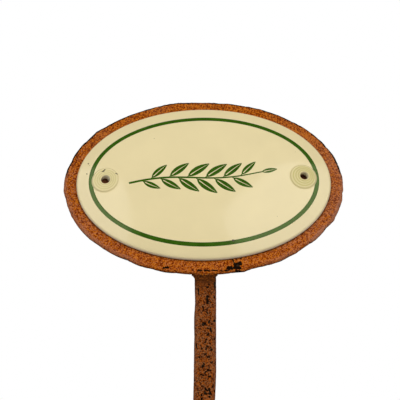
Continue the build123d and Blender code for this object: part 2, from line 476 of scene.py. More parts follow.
# Tint of the painted shade on the pads
PAD_TINT = (0.68, 0.69, 0.45)
GREEN_CLOUD = 3.0 * MM
GREEN_LIGHTER = 1.35
PEEL_FINE = 1.6 * MM
PEEL_BUMP = 0.0006 * MM
CREAM_ROUGHNESS = (0.07, 0.12)
GREEN_ROUGHNESS = (0.08, 0.14)
PAD_ROUGHER = 0.3
# Strength of the painted highlight down the edge and on the hole walls
PALE_STRENGTH = 0.6
GREEN_RANGE = (0.35, 0.7)

# The range of the noise that clouds a plain finish, and the depth of its bumps against their size
CLOUDED = (0.3, 0.7)
PLAIN_BUMP_SHARE = 0.02


def node(tree, kind, inputs=None, **own):
    """Adds a node with its own settings, and links or fills its inputs."""
    made = tree.nodes.new(kind)
    for key, value in own.items():
        setattr(made, key, value)
    for key, value in (inputs or {}).items():
        if isinstance(value, bpy.types.NodeSocket):
            tree.links.new(value, made.inputs[key])
        else:
            made.inputs[key].default_value = value
    return made


def start_material(name):
    """A new material, its node tree and its main shader."""
    material = bpy.data.materials.new(name)
    material.use_nodes = True
    return material, material.node_tree, material.node_tree.nodes["Principled BSDF"]


def object_place(tree):
    """The place on the piece, in metres."""
    return node(tree, "ShaderNodeTexCoord").outputs["Object"]


def grain(tree, place, size, detail=3.0, roughness=0.6):
    """Fine noise from 0 to 1 whose features have that size."""
    values = {"Vector": place, "Scale": 1 / size, "Detail": detail, "Roughness": roughness}
    return node(tree, "ShaderNodeTexNoise", values).outputs["Fac"]


def mix_colour(tree, amount, first, second):
    """First colour where the amount is 0, second where it is 1."""
    made = node(tree, "ShaderNodeMix", data_type="RGBA")
    for socket, value in ((made.inputs[0], amount), (made.inputs[6], first), (made.inputs[7], second)):
        if isinstance(value, bpy.types.NodeSocket):
            tree.links.new(value, socket)
        else:
            socket.default_value = value
    return made.outputs[2]


def ramp(tree, value, *stops):
    """Colours along a value, from stops of (place, colour)."""
    made = node(tree, "ShaderNodeValToRGB", {"Fac": value})
    points = made.color_ramp.elements
    while len(points) < len(stops):
        points.new(0.5)
    for point, (place, tint) in zip(points, stops):
        point.position = place
        point.color = tint
    return made.outputs["Color"]


def span(tree, value, low, high, to_low=0.0, to_high=1.0):
    """A value moved from one range to another, and held within it."""
    values = {"Value": value, "From Min": low, "From Max": high, "To Min": to_low, "To Max": to_high}
    return node(tree, "ShaderNodeMapRange", values).outputs["Result"]


def sum_of(tree, *parts):
    """The sum of values, each times its own weight."""
    total = 0.0
    for value, weight in parts:
        values = {0: value, 1: weight, 2: total}
        total = node(tree, "ShaderNodeMath", values, operation="MULTIPLY_ADD").outputs[0]
    return total


def kept(tree, name):
    """A number that was kept for each point of the mesh."""
    return node(tree, "ShaderNodeAttribute", attribute_name=name).outputs["Fac"]


def bump(tree, shader, height, distance, strength=1.0):
    """Small relief in the surface, whose full height is the distance."""
    values = {"Height": height, "Distance": distance, "Strength": strength}
    tree.links.new(node(tree, "ShaderNodeBump", values).outputs["Normal"], shader.inputs["Normal"])


def rust_material(name, dark, middle, bright, pink, dust_and_glint, grain_size):
    """Rust whose colour follows the mesh's relief, with fine grain, pale grains that also paint glints, black
    scale in its pits, and the painted shade and painted light kept on the mesh.
    """
    colours = settings().colours
    material, tree, shader = start_material(name)
    place = object_place(tree)
    fine = span(tree, grain(tree, place, grain_size, detail=1.0), *CRISP)
    coarse = span(tree, grain(tree, place, RUST_COARSER * grain_size, detail=1.0), *CRISP)
    patches = grain(tree, place, RUST_PATCH, detail=2.0)
    bloom = grain(tree, place, RUST_BLOOM, detail=3.0)
    mixed = sum_of(tree, *zip((fine, coarse, patches, kept(tree, "relief")), RUST_MIX))
    body = ramp(tree, mixed, *zip(RUST_STOPS, (dark, middle, bright)))
    speckle = grain(tree, place, RUST_SPECKLE, detail=0.0)
    # Painted highlight and sheen kept on the mesh, broken up by the fine speckle
    painted_light = span(tree, speckle, *PAINTED_LIGHT_RANGE, *PAINTED_LIGHT_STRENGTHS)
    pale = sum_of(tree, (span(tree, bloom, *BLOOM_RANGE), BLOOM_STRENGTH), (kept(tree, "painted_light"), painted_light))
    body = mix_colour(tree, pale, body, pink)
    # Pale grains that also paint glints, orange where the mesh asks
    grains = sum_of(tree, (span(tree, speckle, *GRAIN_RANGE), GRAIN_STRENGTH))
    grain_tint = mix_colour(tree, kept(tree, "orange_grains"), dust_and_glint, bright)
    body = mix_colour(tree, grains, body, grain_tint)
    # Painted shade kept on the mesh
    painted_shade = sum_of(tree, *zip((kept(tree, "painted_shade"), fine), SHADE_MIX))
    body = mix_colour(tree, span(tree, painted_shade, *SHADE_RANGE), body, tuple(colours.painted_shade))
    scale = mix_colour(tree, span(tree, coarse, *GREY_RANGE), tuple(colours.scale), tuple(colours.scale_grey))
    # Black scale in the pits and marks, and on the plate's shaded edge as painted shade
    ragged = sum_of(tree, *zip((kept(tree, "pit_and_shade"), fine, coarse), SCALE_MIX))
    body = mix_colour(tree, span(tree, ragged, *SCALE_RANGE), body, scale)
    tree.links.new(body, shader.inputs["Base Color"])
    tree.links.new(span(tree, fine, 0.0, 1.0, *RUST_ROUGHNESS), shader.inputs["Roughness"])
    shader.inputs["Specular IOR Level"].default_value = RUST_GLOSS
    bump(tree, shader, fine, RUST_BUMP)
    return material


def cream_material():
    """Glossy cream enamel, a little uneven: darker where it lies thin and painted shade falls, with painted
    shade on the pads and painted highlights down its edge and on its hole walls.
    """
    colours = settings().colours
    material, tree, shader = start_material("cream enamel")
    place = object_place(tree)
    cloud = grain(tree, place, CREAM_CLOUD, detail=2.0)
    cream = tuple(colours.cream)
    deeper = tuple(c * CREAM_DEEPER for c in cream[:3]) + (1,)
    pad_shaded = tuple(c * t for c, t in zip(cream[:3], PAD_TINT)) + (1,)
    body = mix_colour(tree, span(tree, cloud, *CLOUDED), deeper, cream)
    # Painted shade on the pads, whose mask also makes them rougher
    on_pad = kept(tree, "pad")
    body = mix_colour(tree, on_pad, body, pad_shaded)
    # Painted highlight down the edge and on the hole walls
    pale = sum_of(tree, (kept(tree, "pale"), PALE_STRENGTH))
    body = mix_colour(tree, pale, body, tuple(colours.cream_pale))
    # Painted shade, and the darker cream where it lies thin
    body = mix_colour(tree, kept(tree, "shade_and_thin"), body, tuple(colours.cream_shade_and_thin))
    tree.links.new(body, shader.inputs["Base Color"])
    shader.inputs["Specular IOR Level"].default_value = ENAMEL_GLOSS
    gloss = sum_of(tree, (span(tree, cloud, *CLOUDED, *CREAM_ROUGHNESS), 1.0), (on_pad, PAD_ROUGHER))
    tree.links.new(gloss, shader.inputs["Roughness"])
    bump(tree, shader, grain(tree, place, PEEL_FINE, detail=1.0), PEEL_BUMP)
    return material


def green_material():
    """Fired green with a slightly uneven body."""
    colours = settings().colours
    material, tree, shader = start_material("green enamel")
    place = object_place(tree)
    cloud = grain(tree, place, GREEN_CLOUD, detail=2.0)
    green = tuple(colours.green)
    lighter = tuple(c * GREEN_LIGHTER for c in green[:3]) + (1,)
    body = mix_colour(tree, span(tree, cloud, *GREEN_RANGE), green, lighter)
    tree.links.new(body, shader.inputs["Base Color"])
    shader.inputs["Specular IOR Level"].default_value = GREEN_GLOSS
    shader.inputs["Specular Tint"].default_value = GREEN_TINT
    tree.links.new(span(tree, cloud, *CLOUDED, *GREEN_ROUGHNESS), shader.inputs["Roughness"])
    bump(tree, shader, grain(tree, place, PEEL_FINE, detail=1.0), PEEL_BUMP)
    return material


def plain_material(name, tint, low, high, size, metallic=0.0, deeper=0.7):
    """A finish with one colour that clouds a little, and a roughness between low and high."""
    material, tree, shader = start_material(name)
    cloud = grain(tree, object_place(tree), size)
    darker = tuple(c * deeper for c in tint[:3]) + (1,)
    body = mix_colour(tree, span(tree, cloud, *CLOUDED), darker, tuple(tint))
    tree.links.new(body, shader.inputs["Base Color"])
    tree.links.new(span(tree, cloud, *CLOUDED, low, high), shader.inputs["Roughness"])
    shader.inputs["Metallic"].default_value = metallic
    bump(tree, shader, cloud, size * PLAIN_BUMP_SHARE)
    return material


# Cream coat and the layers under it

# The front's mesh: points round the edge and round a hole, rows down them, and the spacing of rings and grid
EDGE_POINTS = 520
HOLE_POINTS = 96
EDGE_ROWS = 6
MOUTH_ROWS = 7
BORE_ROWS = 8
PAD_GRID = 0.14 * MM
OUTER_RING_STEP = 0.4 * MM
FINE_RINGS_END = 1.2
RINGS_END = 3
ROW_SHARE = 0.8660254
GRID_CLEAR_SHARE = 0.6

# The foot of the label's edge, as shares of (tuck, height)
FOOT_SHARES = ((0, 0.4), (0.15, 0.7), (0.5, 0.9), (1, 0.98))

# Where the cream is darkened: painted shade outside the green line and along the lower edge, and at the
# edge's foot and down the holes, where the cream lies thin and painted shade falls
MARGIN_SHADE = 0.11
MARGIN_START = 3.5 * MM
MARGIN_END = 8.0 * MM
LOWER_SHADE = 0.14
LOWER_END = 2.4 * MM
LOWER_SHARES = (-0.7, -0.98)
EDGE_FOOT_SHARES = (0.6, 1.0)
BORE_DARK_FROM = 1.2 * MM
BORE_DARK_TO = 3.4 * MM

# Painted highlight on the cream: down the label's edge, and on each hole's wall from its mouth inwards
EDGE_PALE_SHARES = (0.05, 0.3)
BORE_PALE_FROM = 0.1 * MM
BORE_PALE_TO = 0.5 * MM

# Painted shade on each pad, as (side, all over, more in its rings), and where its last ring, the shoulder's
# painted shadow, and its border lie
PAD_SHADES = ((-1, 0.22, 0.6), (1, 0.42, 1.1))
SHOULDER_SHADE_RING = 0.12 * MM
PAD_SHADE_END = 0.8

# Each hole's enamel, as (side, reach, painted light on its wall, strength of its painted shade, narrowing)
BORES = ((-1, 1.1, 1.0, 0.25, 0.7), (1, 0.7, 0.6, 1.0, 1.0))

# The layers under the cream: where the dark enamel lies, how thick it is, and the mesh's spacing
LAYER_INSET = 0.3 * MM
LAYER_NEAR = 0.28 * MM
LAYER_FAR = 1.22 * MM
LAYER_SKIN = 0.11 * MM
LAYER_GAP = 0.01 * MM
LAYER_FOOT = 0.04 * MM
LAYER_HOLE_ROOM = 0.5 * MM
LAYER_GRID = 1.7 * MM
LAYER_PAD_GRID = 0.4 * MM


def pad_rings(pads, hole, spacing):
    """Radii of the mesh's rings round a screw hole, out past the shoulder."""
    fine_end = pads.radius + FINE_RINGS_END * pads.shoulder
    end = pads.radius + RINGS_END * pads.shoulder
    return [*np.arange(hole, fine_end, spacing), *np.arange(fine_end, end, OUTER_RING_STEP)]


def triangle_grid(label, step):
    """Places of a grid of even triangles over the whole label."""
    columns = int(label.half_width / step) + 1
    rows = int(label.half_height / (step * ROW_SHARE)) + 1
    places = []
    for row in range(-rows, rows + 1):
        for column in range(-columns, columns):
            places.append(((column + 0.5 * (row % 2)) * step, row * step * ROW_SHARE))
    return np.array(places).T


def following(ring):
    """Each member's next one round a closed ring."""
    return [*ring[1:], ring[0]]


def ring_faces(above, here):
    """Quads between two closed rings with as many points."""
    return list(zip(above, here, following(here), following(above)))


def front_places(label, pads, inset, hole, step, spacing):
    """Places across the front: a ring this far in from the edge, both pads' rings, then a grid."""
    edge = oval_ring(label.half_width - inset, label.half_height - inset, EDGE_POINTS)
    across, up = list(edge[0]), list(edge[1])
    radii = pad_rings(pads, hole, spacing)
    for side in (-1, 1):
        middle, level, _, lean = pad_frame(side, label, pads)
        for radius in radii:
            x, y = oval_ring(radius * math.cos(lean), radius, HOLE_POINTS)
            out, high = ring_middle(radius, side, pads)
            across += list(x + middle + out * math.cos(lean))
            up += list(y + level + high)
    x, y = triangle_grid(label, step)
    far_out = np.hypot(x / (label.half_width - inset - step), y / (label.half_height - inset - step))
    free = far_out < 1
    for side in (-1, 1):
        free &= from_pad(x, y, side, label, pads) > radii[-1] + step * GRID_CLEAR_SHARE
    across += list(x[free])
    up += list(y[free])
    return np.array(across), np.array(up), len(radii)


def front_faces(across, up, rings):
    """Triangles over the whole front, open at both screw holes."""
    edges = [(k, (k + 1) % EDGE_POINTS) for k in range(EDGE_POINTS)]
    places = [Vector((x / MM, y / MM)) for x, y in zip(across, up)]
    inside_only = 1
    _, _, faces, origins, _, _ = geometry.delaunay_2d_cdt(places, edges, [], inside_only, TINY)
    holes = []
    for side in range(2):
        first = EDGE_POINTS + side * rings * HOLE_POINTS
        holes.append(set(range(first, first + HOLE_POINTS)))
    faces = [tuple(origins[v][0] for v in face) for face in faces]
    return [face for face in faces if not any(set(face) <= hole for hole in holes)]


def edge_rows(label):
    """Rows down the label's edge as (inset, drop from the edge's height), from the front to the foot."""
    start = float(dome_height(label.edge_round, label)) - label.edge_height
    rows = []
    for turn in [k * math.pi / 2 / EDGE_ROWS for k in range(1, EDGE_ROWS + 1)]:
        drop = label.edge_round * (1 - math.cos(turn)) - start * math.cos(turn)
        rows.append((label.edge_round * (1 - math.sin(turn)), drop))
    foot = label.edge_height - label.edge_round
    return rows + [(tuck * label.foot_tuck, label.edge_round + foot * down) for tuck, down in FOOT_SHARES]


def bore_rows(label, pads, side, reach, narrowing):
    """Rows round a hole from its mouth inwards, each as (across, up, height, depth)."""
    inner = pads.hole_radius + pads.mouth
    middle, level, top, lean = pad_frame(side, label, pads)
    out, high = ring_middle(inner, side, pads)
    rows = [(turn, 0) for turn in np.linspace(0, math.pi / 2, MOUTH_ROWS + 1)[1:]]
    rows += [(math.pi / 2, reach * pads.bore * t) for t in np.linspace(0, 1, BORE_ROWS + 1)[1:]]
    for turn, further in rows:
        radius = inner - narrowing * pads.mouth * math.sin(turn)
        deep = pads.mouth * (1 - math.cos(turn)) + further
        x, y = oval_ring(radius, radius, HOLE_POINTS)
        across = middle + (x + out) * math.cos(lean) - deep * math.sin(pads.hole_drift)
        height = top - (x + out) * math.sin(lean) - deep * math.cos(lean)
        yield across, y + level + high, height, deep


def build_cream_coat(label, pads):
    """The enamel's front, its rounded edge and the mouths of its holes, as one skin with a thickness."""
    inner = pads.hole_radius + pads.mouth
    across, up, rings = front_places(label, pads, label.edge_round, inner, label.grid, PAD_GRID)
    points = [*on_label(across, up, front_height(across, up, label, pads))]
    faces = front_faces(across, up, rings)
    # Painted shade outside the green line and along the lower edge
    shade_and_thin = [*margin_shade(up, inset_at(across, up, label), label)]
    pale = [*(0 * across)]

    def add_ring(above, places):
        here = list(range(len(points), len(points) + len(above)))
        points.extend(places)
        faces.extend(ring_faces(above, here))
        return here

    above = list(range(EDGE_POINTS))
    for inset, drop in edge_rows(label):
        x, y = oval_ring(label.half_width - inset, label.half_height - inset, EDGE_POINTS)
        above = add_ring(above, on_label(x, y, label.edge_height - drop))
        down = max(drop / label.edge_height, 0)
        # Darker towards the edge's foot, where the cream lies thin and painted shade falls by the plate, with
        # a painted highlight down the edge
        shade_and_thin += [*(margin_shade(y, inset, label) + smooth(*EDGE_FOOT_SHARES, down))]
        pale += [float(smooth(*EDGE_PALE_SHARES, down))] * EDGE_POINTS
    for number, (side, reach, lit_wall, painted_light, narrowing) in enumerate(BORES):
        first = EDGE_POINTS + number * rings * HOLE_POINTS
        above = list(range(first, first + HOLE_POINTS))
        for x, y, height, deep in bore_rows(label, pads, side, reach, narrowing):
            above = add_ring(above, on_label(x, y, height))
            # Darker deeper down each hole, where the cream lies thin and painted shade falls, with a painted
            # highlight on its wall; each hole has its own strengths
            shade_and_thin += [painted_light * float(smooth(BORE_DARK_FROM, BORE_DARK_TO, deep))] * HOLE_POINTS
            pale += [lit_wall * float(smooth(BORE_PALE_FROM, BORE_PALE_TO, deep))] * HOLE_POINTS
    coat = make_object("cream_coat", points, faces)
    paint(coat, "shade_and_thin", shade_and_thin)
    paint(coat, "pale", pale)
    # Painted shade on the pads, their rings and their shoulders
    paint(coat, "pad", pad_shade(points_of(coat), label, pads))
    look_forwards(coat)
    skin = coat.modifiers.new("Coat thickness", "SOLIDIFY")
    skin.thickness = label.coat
    skin.offset = -1
    return coat


def margin_shade(up, inset, label):
    """Painted shade on the cream outside the green line, and more along its lower edge."""
    outside = MARGIN_SHADE * (1 - smooth(MARGIN_START, MARGIN_END, inset))
    lower = smooth(*LOWER_SHARES, up / label.half_height)
    return outside + LOWER_SHADE * lower * smooth(LOWER_END, 0, inset)


def layer_body(label, pads, inset, hole, near, far):
    """Points and faces of a sheet that follows the front between two depths under it."""
    across, up, rings = front_places(label, pads, inset, hole, LAYER_GRID, LAYER_PAD_GRID)
    height = front_height(across, up, label, pads)
    count = len(across)
    points = []
    for depth in (near, far):
        foot = LAYER_FOOT * (1 + (far - depth) / MM)
        points += [*on_label(across, up, np.maximum(height - depth, foot))]
    front = front_faces(across, up, rings)
    faces = front + [tuple(v + count for v in reversed(face)) for face in front]
    rims = [range(EDGE_POINTS)]
    rims += [range(s, s + HOLE_POINTS) for s in (EDGE_POINTS, EDGE_POINTS + rings * HOLE_POINTS)]
    for rim in rims:
        faces += [(a, b, b + count, a + count) for a, b in zip(rim, following(rim))]
    return points, faces


def build_dark_coat(label, pads):
    """The thin dark enamel all round the steel pressing, hollow where the pressing lies."""
    hole = pads.hole_radius + LAYER_HOLE_ROOM
    skin = LAYER_SKIN
    points, faces = layer_body(label, pads, LAYER_INSET, hole, LAYER_NEAR, LAYER_FAR)
    inside = layer_body(label, pads, LAYER_INSET + skin, hole + skin, LAYER_NEAR + skin, LAYER_FAR - skin)
    faces += [tuple(v + len(points) for v in face) for face in inside[1]]
    return make_object("dark_coat", points + inside[0], faces)


def build_steel_pressing(label, pads):
    """The domed sheet steel inside the dark enamel."""
    hole = pads.hole_radius + LAYER_HOLE_ROOM
    skin = LAYER_SKIN + LAYER_GAP
    return make_object(
        "steel_pressing",
        *layer_body(label, pads, LAYER_INSET + skin, hole + skin, LAYER_NEAR + skin, LAYER_FAR - skin),
    )


def pad_shade(points, label, pads):
    """Painted shade at each point of the enamel: most in the pads' rings and on their shoulders, less between
    them, 0 elsewhere.
    """
    across, up = points[:, 0], points[:, 2] - HEAD_HEIGHT
    radii = [ring_share * pads.radius for ring_share in PAD_RING_SHARES]
    pad_shaded = np.zeros(len(points))
    for side, all_over, ringed in PAD_SHADES:
        away = from_pad(across, up, side, label, pads)
        on_pad = 1 - smooth(pads.radius - pads.shoulder, pads.radius + PAD_SHADE_END * pads.shoulder, away)
        rings = np.zeros(len(points))
        for ring in [*radii, pads.radius + SHOULDER_SHADE_RING]:
            from_ring = from_pad(across, up, side, label, pads, ring) - ring
            rings += np.exp(-((from_ring / pads.ring_width) ** 2))
        pad_shaded += on_pad * (all_over + ringed * rings)
    return pad_shaded


def look_forwards(piece):
    """Turns an open skin so that most of its faces look out of the label's front."""
    normals = np.empty(3 * len(piece.data.polygons), np.float32)
    piece.data.polygons.foreach_get("normal", normals)
    if normals.reshape(-1, 3)[:, 1].sum() > 0:
        piece.data.flip_normals()


# Fired prints

# Places across a print, as shares of its width
ACROSS_SHARES = (0.0, 0.06, 0.2, 0.5, 0.8, 0.94, 1.0)

# The line's points, and how it gives way to a pad: the steps of the search, its end, and the room to spare
LINE_POINTS = 960
LINE_STEPS = 40
LINE_LEAST_SHARE = 0.1
LINE_SPARE_SHARE = 0.02

# The sprig's stem, which runs on a little under its last leaf, and the places of its leaves along it
STEM_POINTS = 90
STEM_END = 1.025
STEM_WAVE = 0.25
STEM_AHEAD = 0.01
FIRST_LEAF = 0.1
LEAVES_REACH = 0.82

# A leaf's points, its bend, and how its outline swells from its foot and narrows to its tip
LEAF_POINTS = 26
LEAF_BEND = 0.07
LEAF_BLUNT = 0.004
LEAF_FOOT = 0.75
LEAF_TIP = 0.95

# A leaf's stalk and bare midrib
STALK_POINTS = 8
STALK_IN_LEAF = 0.12
MIDRIB_MOST_SHARE = 0.45


def raise_print(points, faces, across, up, label, pads, prints, closed):
    """Adds one closed raised print from rows of places. Its border lies in the cream."""
    rows, columns = across.shape
    height = front_height(across.ravel(), up.ravel(), label, pads).reshape(rows, columns)
    lift = np.full((rows, columns), prints.height)
    lift[:, 0] = lift[:, -1] = -prints.sink
    if not closed:
        lift[0] = lift[-1] = -prints.sink
    first = len(points)
    points += [*on_label(across.ravel(), up.ravel(), (height + lift).ravel())]
    ends = [(first + r * columns, first + r * columns + columns - 1) for r in range(rows)]
    for r in range(rows if closed else rows - 1):
        after = (r + 1) % rows
        for c in range(columns - 1):
            a, b = first + r * columns + c, first + after * columns + c
            faces.append((a, a + 1, b + 1, b))
        faces.append((ends[r][1], ends[r][0], ends[after][0], ends[after][1]))
    if not closed:
        faces.append(tuple(range(ends[0][0], ends[0][1] + 1)))
        faces.append(tuple(range(ends[-1][1], ends[-1][0] - 1, -1)))


def line_places(label, pads, prints):
    """Rows of places across the green line. Its inner side gives way to the pads."""
    turn = np.arange(LINE_POINTS) * math.tau / LINE_POINTS
    inner = np.full(LINE_POINTS, prints.line_width)
    clear = pads.radius + prints.line_gap
    half_width = label.half_width - prints.line_inset_ends
    half_height = label.half_height - prints.line_inset
    for step in np.linspace(1, LINE_LEAST_SHARE, LINE_STEPS):
        inside = step * prints.line_width
        x, y = printed((half_width - inside) * np.cos(turn), (half_height - inside) * np.sin(turn), prints)
        for side in (-1, 1):
            near = from_pad(x, y, side, label, pads) < clear
            narrower = np.minimum(inner, (step - LINE_SPARE_SHARE) * prints.line_width)
            inner = np.where(near, narrower, inner)
    inside = inner[:, None] * np.array(ACROSS_SHARES)
    turn = turn[:, None]
    return printed((half_width - inside) * np.cos(turn), (half_height - inside) * np.sin(turn), prints)


def printed(across, up, prints):
    """Places of a print after its own small turn and shift on the label."""
    c, s = math.cos(prints.turn), math.sin(prints.turn)
    return across * c - up * s + prints.shift_right, across * s + up * c + prints.shift_up


def strip_places(line, widths):
    """Rows of places across a strip that follows a line and has a width at each of its points."""
    line = np.asarray(line, float)
    ahead = np.gradient(line, axis=0)
    ahead /= np.linalg.norm(ahead, axis=1)[:, None]
    side = np.stack([-ahead[:, 1], ahead[:, 0]], 1)
    shift = (np.array(ACROSS_SHARES) - 0.5) * np.asarray(widths)[:, None]
    places = line[:, None, :] + side[:, None, :] * shift[:, :, None]
    return places[:, :, 0], places[:, :, 1]


def stem_place(along, prints):
    """A place on the sprig's stem, from 0 at its foot to 1 at its tip."""
    reach = SPRIG_HIGH.x - prints.leaf_length * prints.least_leaf - prints.leaf_stalk
    x = SPRIG_LOW.x + (reach - SPRIG_LOW.x) * along
    return x, prints.stem_sway * (along - 0.5 + STEM_WAVE * np.sin(math.tau * along))


def leaf_strips(foot, heading, size, bend, prints):
    """The stalk and the two half blades of one leaf, each as rows of places."""
    direction = np.array([math.cos(heading), math.sin(heading)])
    side = np.array([-direction[1], direction[0]])
    half_width = prints.leaf_half_width * size / prints.leaf_length

    def rib(t):
        return np.outer(prints.leaf_stalk + size * t, direction) + np.outer(bend * size * t * t, side) + foot

    stalk = np.linspace(0, prints.leaf_stalk + STALK_IN_LEAF * size, STALK_POINTS)
    yield strip_places(np.outer(stalk, direction) + foot, np.full(len(stalk), prints.stalk_width))
    t = np.linspace(0.0, 1.0, LEAF_POINTS)
    full = (t + LEAF_BLUNT) ** LEAF_FOOT * (1 + LEAF_BLUNT - t) ** LEAF_TIP
    outer = half_width * full / full.max()
    gap = np.minimum(prints.midrib / 2 * (1 - t), outer * MIDRIB_MOST_SHARE)
    for hand in (-1, 1):
        wide = gap[:, None] + (outer - gap)[:, None] * np.array(ACROSS_SHARES)
        places = rib(t)[:, None, :] + hand * wide[:, :, None] * side
        yield places[:, :, 0], places[:, :, 1]


def sprig_strips(prints):
    """Rows of places for the stem and every leaf of the sprig."""
    along = np.linspace(0, STEM_END, STEM_POINTS)
    line = np.stack(stem_place(along, prints), 1)
    yield strip_places(line, prints.stem_foot + (prints.stem_tip - prints.stem_foot) * along)
    count = prints.leaves_each_side
    leaves = []
    for side, later in ((-1, 0), (1, 0.5)):
        leaves += [(FIRST_LEAF + LEAVES_REACH * (n + later) / count, side) for n in range(count)]
    for place, side in [*leaves, (1.0, 0)]:
        x, y = stem_place(place, prints)
        ahead_x, ahead_y = stem_place(place + STEM_AHEAD, prints)
        swell = prints.least_leaf + (1 - prints.least_leaf) * math.sin(math.pi * place)
        heading = math.atan2(ahead_y - y, ahead_x - x) + side * prints.leaf_angle
        size = prints.leaf_length * swell
        yield from leaf_strips(np.array([x, y]), heading, size, -LEAF_BEND * side, prints)


# Rusted plate

# The plate's mesh: the margin where it is fine, its points, its rings inside that margin and down its edge
PLATE_MARGIN = 8.0 * MM
PLATE_POINTS = 720
PLATE_RING_SHARES = (0.2, 0.5, 0.8, 0.92)
PLATE_EDGE_ROWS = 6

# The plate's waves and pits, and where its arris begins and ends
PLATE_FINE = 1.5 * MM
PLATE_SLOW = 9 * MM
PLATE_UNEVEN = 6 * MM
PLATE_UNEVEN_RANGE = (0.0, 0.8)
PLATE_PITS = 2.1 * MM
PLATE_PIT_RANGE = (0.42, 0.62)
ARRIS_START = 1.6 * MM
ARRIS_END = 0.6 * MM

# Weights of (level, fine waves, slow waves) in the plate's depth and in its shade, and of pits and marks
PLATE_RELIEF = (0.45, -0.3, -0.2)
PLATE_PIT_DEPTH = 0.4
MARK_DEPTH = 0.9
PLATE_SHADE = (0.5, 0.45, 0.12)
PIT_SHADE = 0.35
ARRIS_PITS = 0.5

# Where the rust's grains are orange instead of pale, since the pale grains on the sides paint sheen: the
# upper and lower stretches of the rim, as (strength, from, to)
ORANGE_GRAINS = ((0.8, 0.2, 0.7), (0.4, -0.7, -0.95))

# Painted shade along the upper and rear edge
DARK_FROM = 1.3 * MM
DARK_TO = 2.9 * MM
DARK_SOFT = 0.3 * MM
EDGE_RAGGED = 0.22 * MM
TOP_LINE = 1.2 * MM
TOP_RAGGED = 0.35 * MM
TOP_SOFT_SHARE = 0.6
TOP_PATCHY = 0.7
UPPER_RANGE = (-0.15, 0.35)
EDGE_NOISE = 1.6 * MM
PATCH_NOISE = 9 * MM

# Painted highlight along the edge at the left and right, low down, and painted sheen on the right side
BAND_WIDTH = 1.9 * MM
SIDE_SHEEN = 0.25
BAND_SOFT_SHARE = 0.5
BAND_RAGGED = 0.3 * MM
BAND_BACK_START = 2.3 * MM
BAND_BACK_END = 1.6 * MM
BAND_PATCHY = 0.8
SIDE_RANGE = (0.3, 0.7)
SIDE_SHEEN_RANGE = (0.45, 0.9)

# Painted shadow round the label, stronger below it, and painted shade on the underside, on the part that the
# label covers and over all but the lowest stretch
LABEL_SHADOW_OUT = 4.6 * MM
LABEL_SHADOW_IN = 5.6 * MM
LABEL_SHADOW_LEAST = 0.3
LABEL_SHADOW_MORE = 0.5
LABEL_SHADOW_RANGE = (0.2, -0.4)
FRONT_DEPTH = 0.5 * MM
BELOW_RANGE = (-0.55, -0.95)
BELOW_START = 0.2 * MM
BELOW_END = 0.9 * MM
COVERED_FROM = 7.0 * MM
COVERED_SOFT = 0.8 * MM
SHADE_ABOVE_BOTTOM_RANGE = (-0.75, -0.35)

# How strong each painted shade is: the upper and rear edge, round the label, the underside, the covered part,
# all but the lowest stretch
PAINTED_SHADE_STRENGTHS = (0.8, 1.0, 0.4, 0.4, 0.22)

# The shaded edge in the black of scale, as painted shade: its strength, where the patches let it show, and
# how much more of it lies above
BLACK_EDGE = 0.9
BLACK_EDGE_RANGE = (-0.5, -0.1)
BLACK_EDGE_ABOVE = 0.3

# How far the marks' borders wander, in millimetres, over what size, and how far back the marks reach
MARK_WANDER = 0.16
MARK_NOISE = 0.9 * MM
MARK_BACK = 1.6 * MM

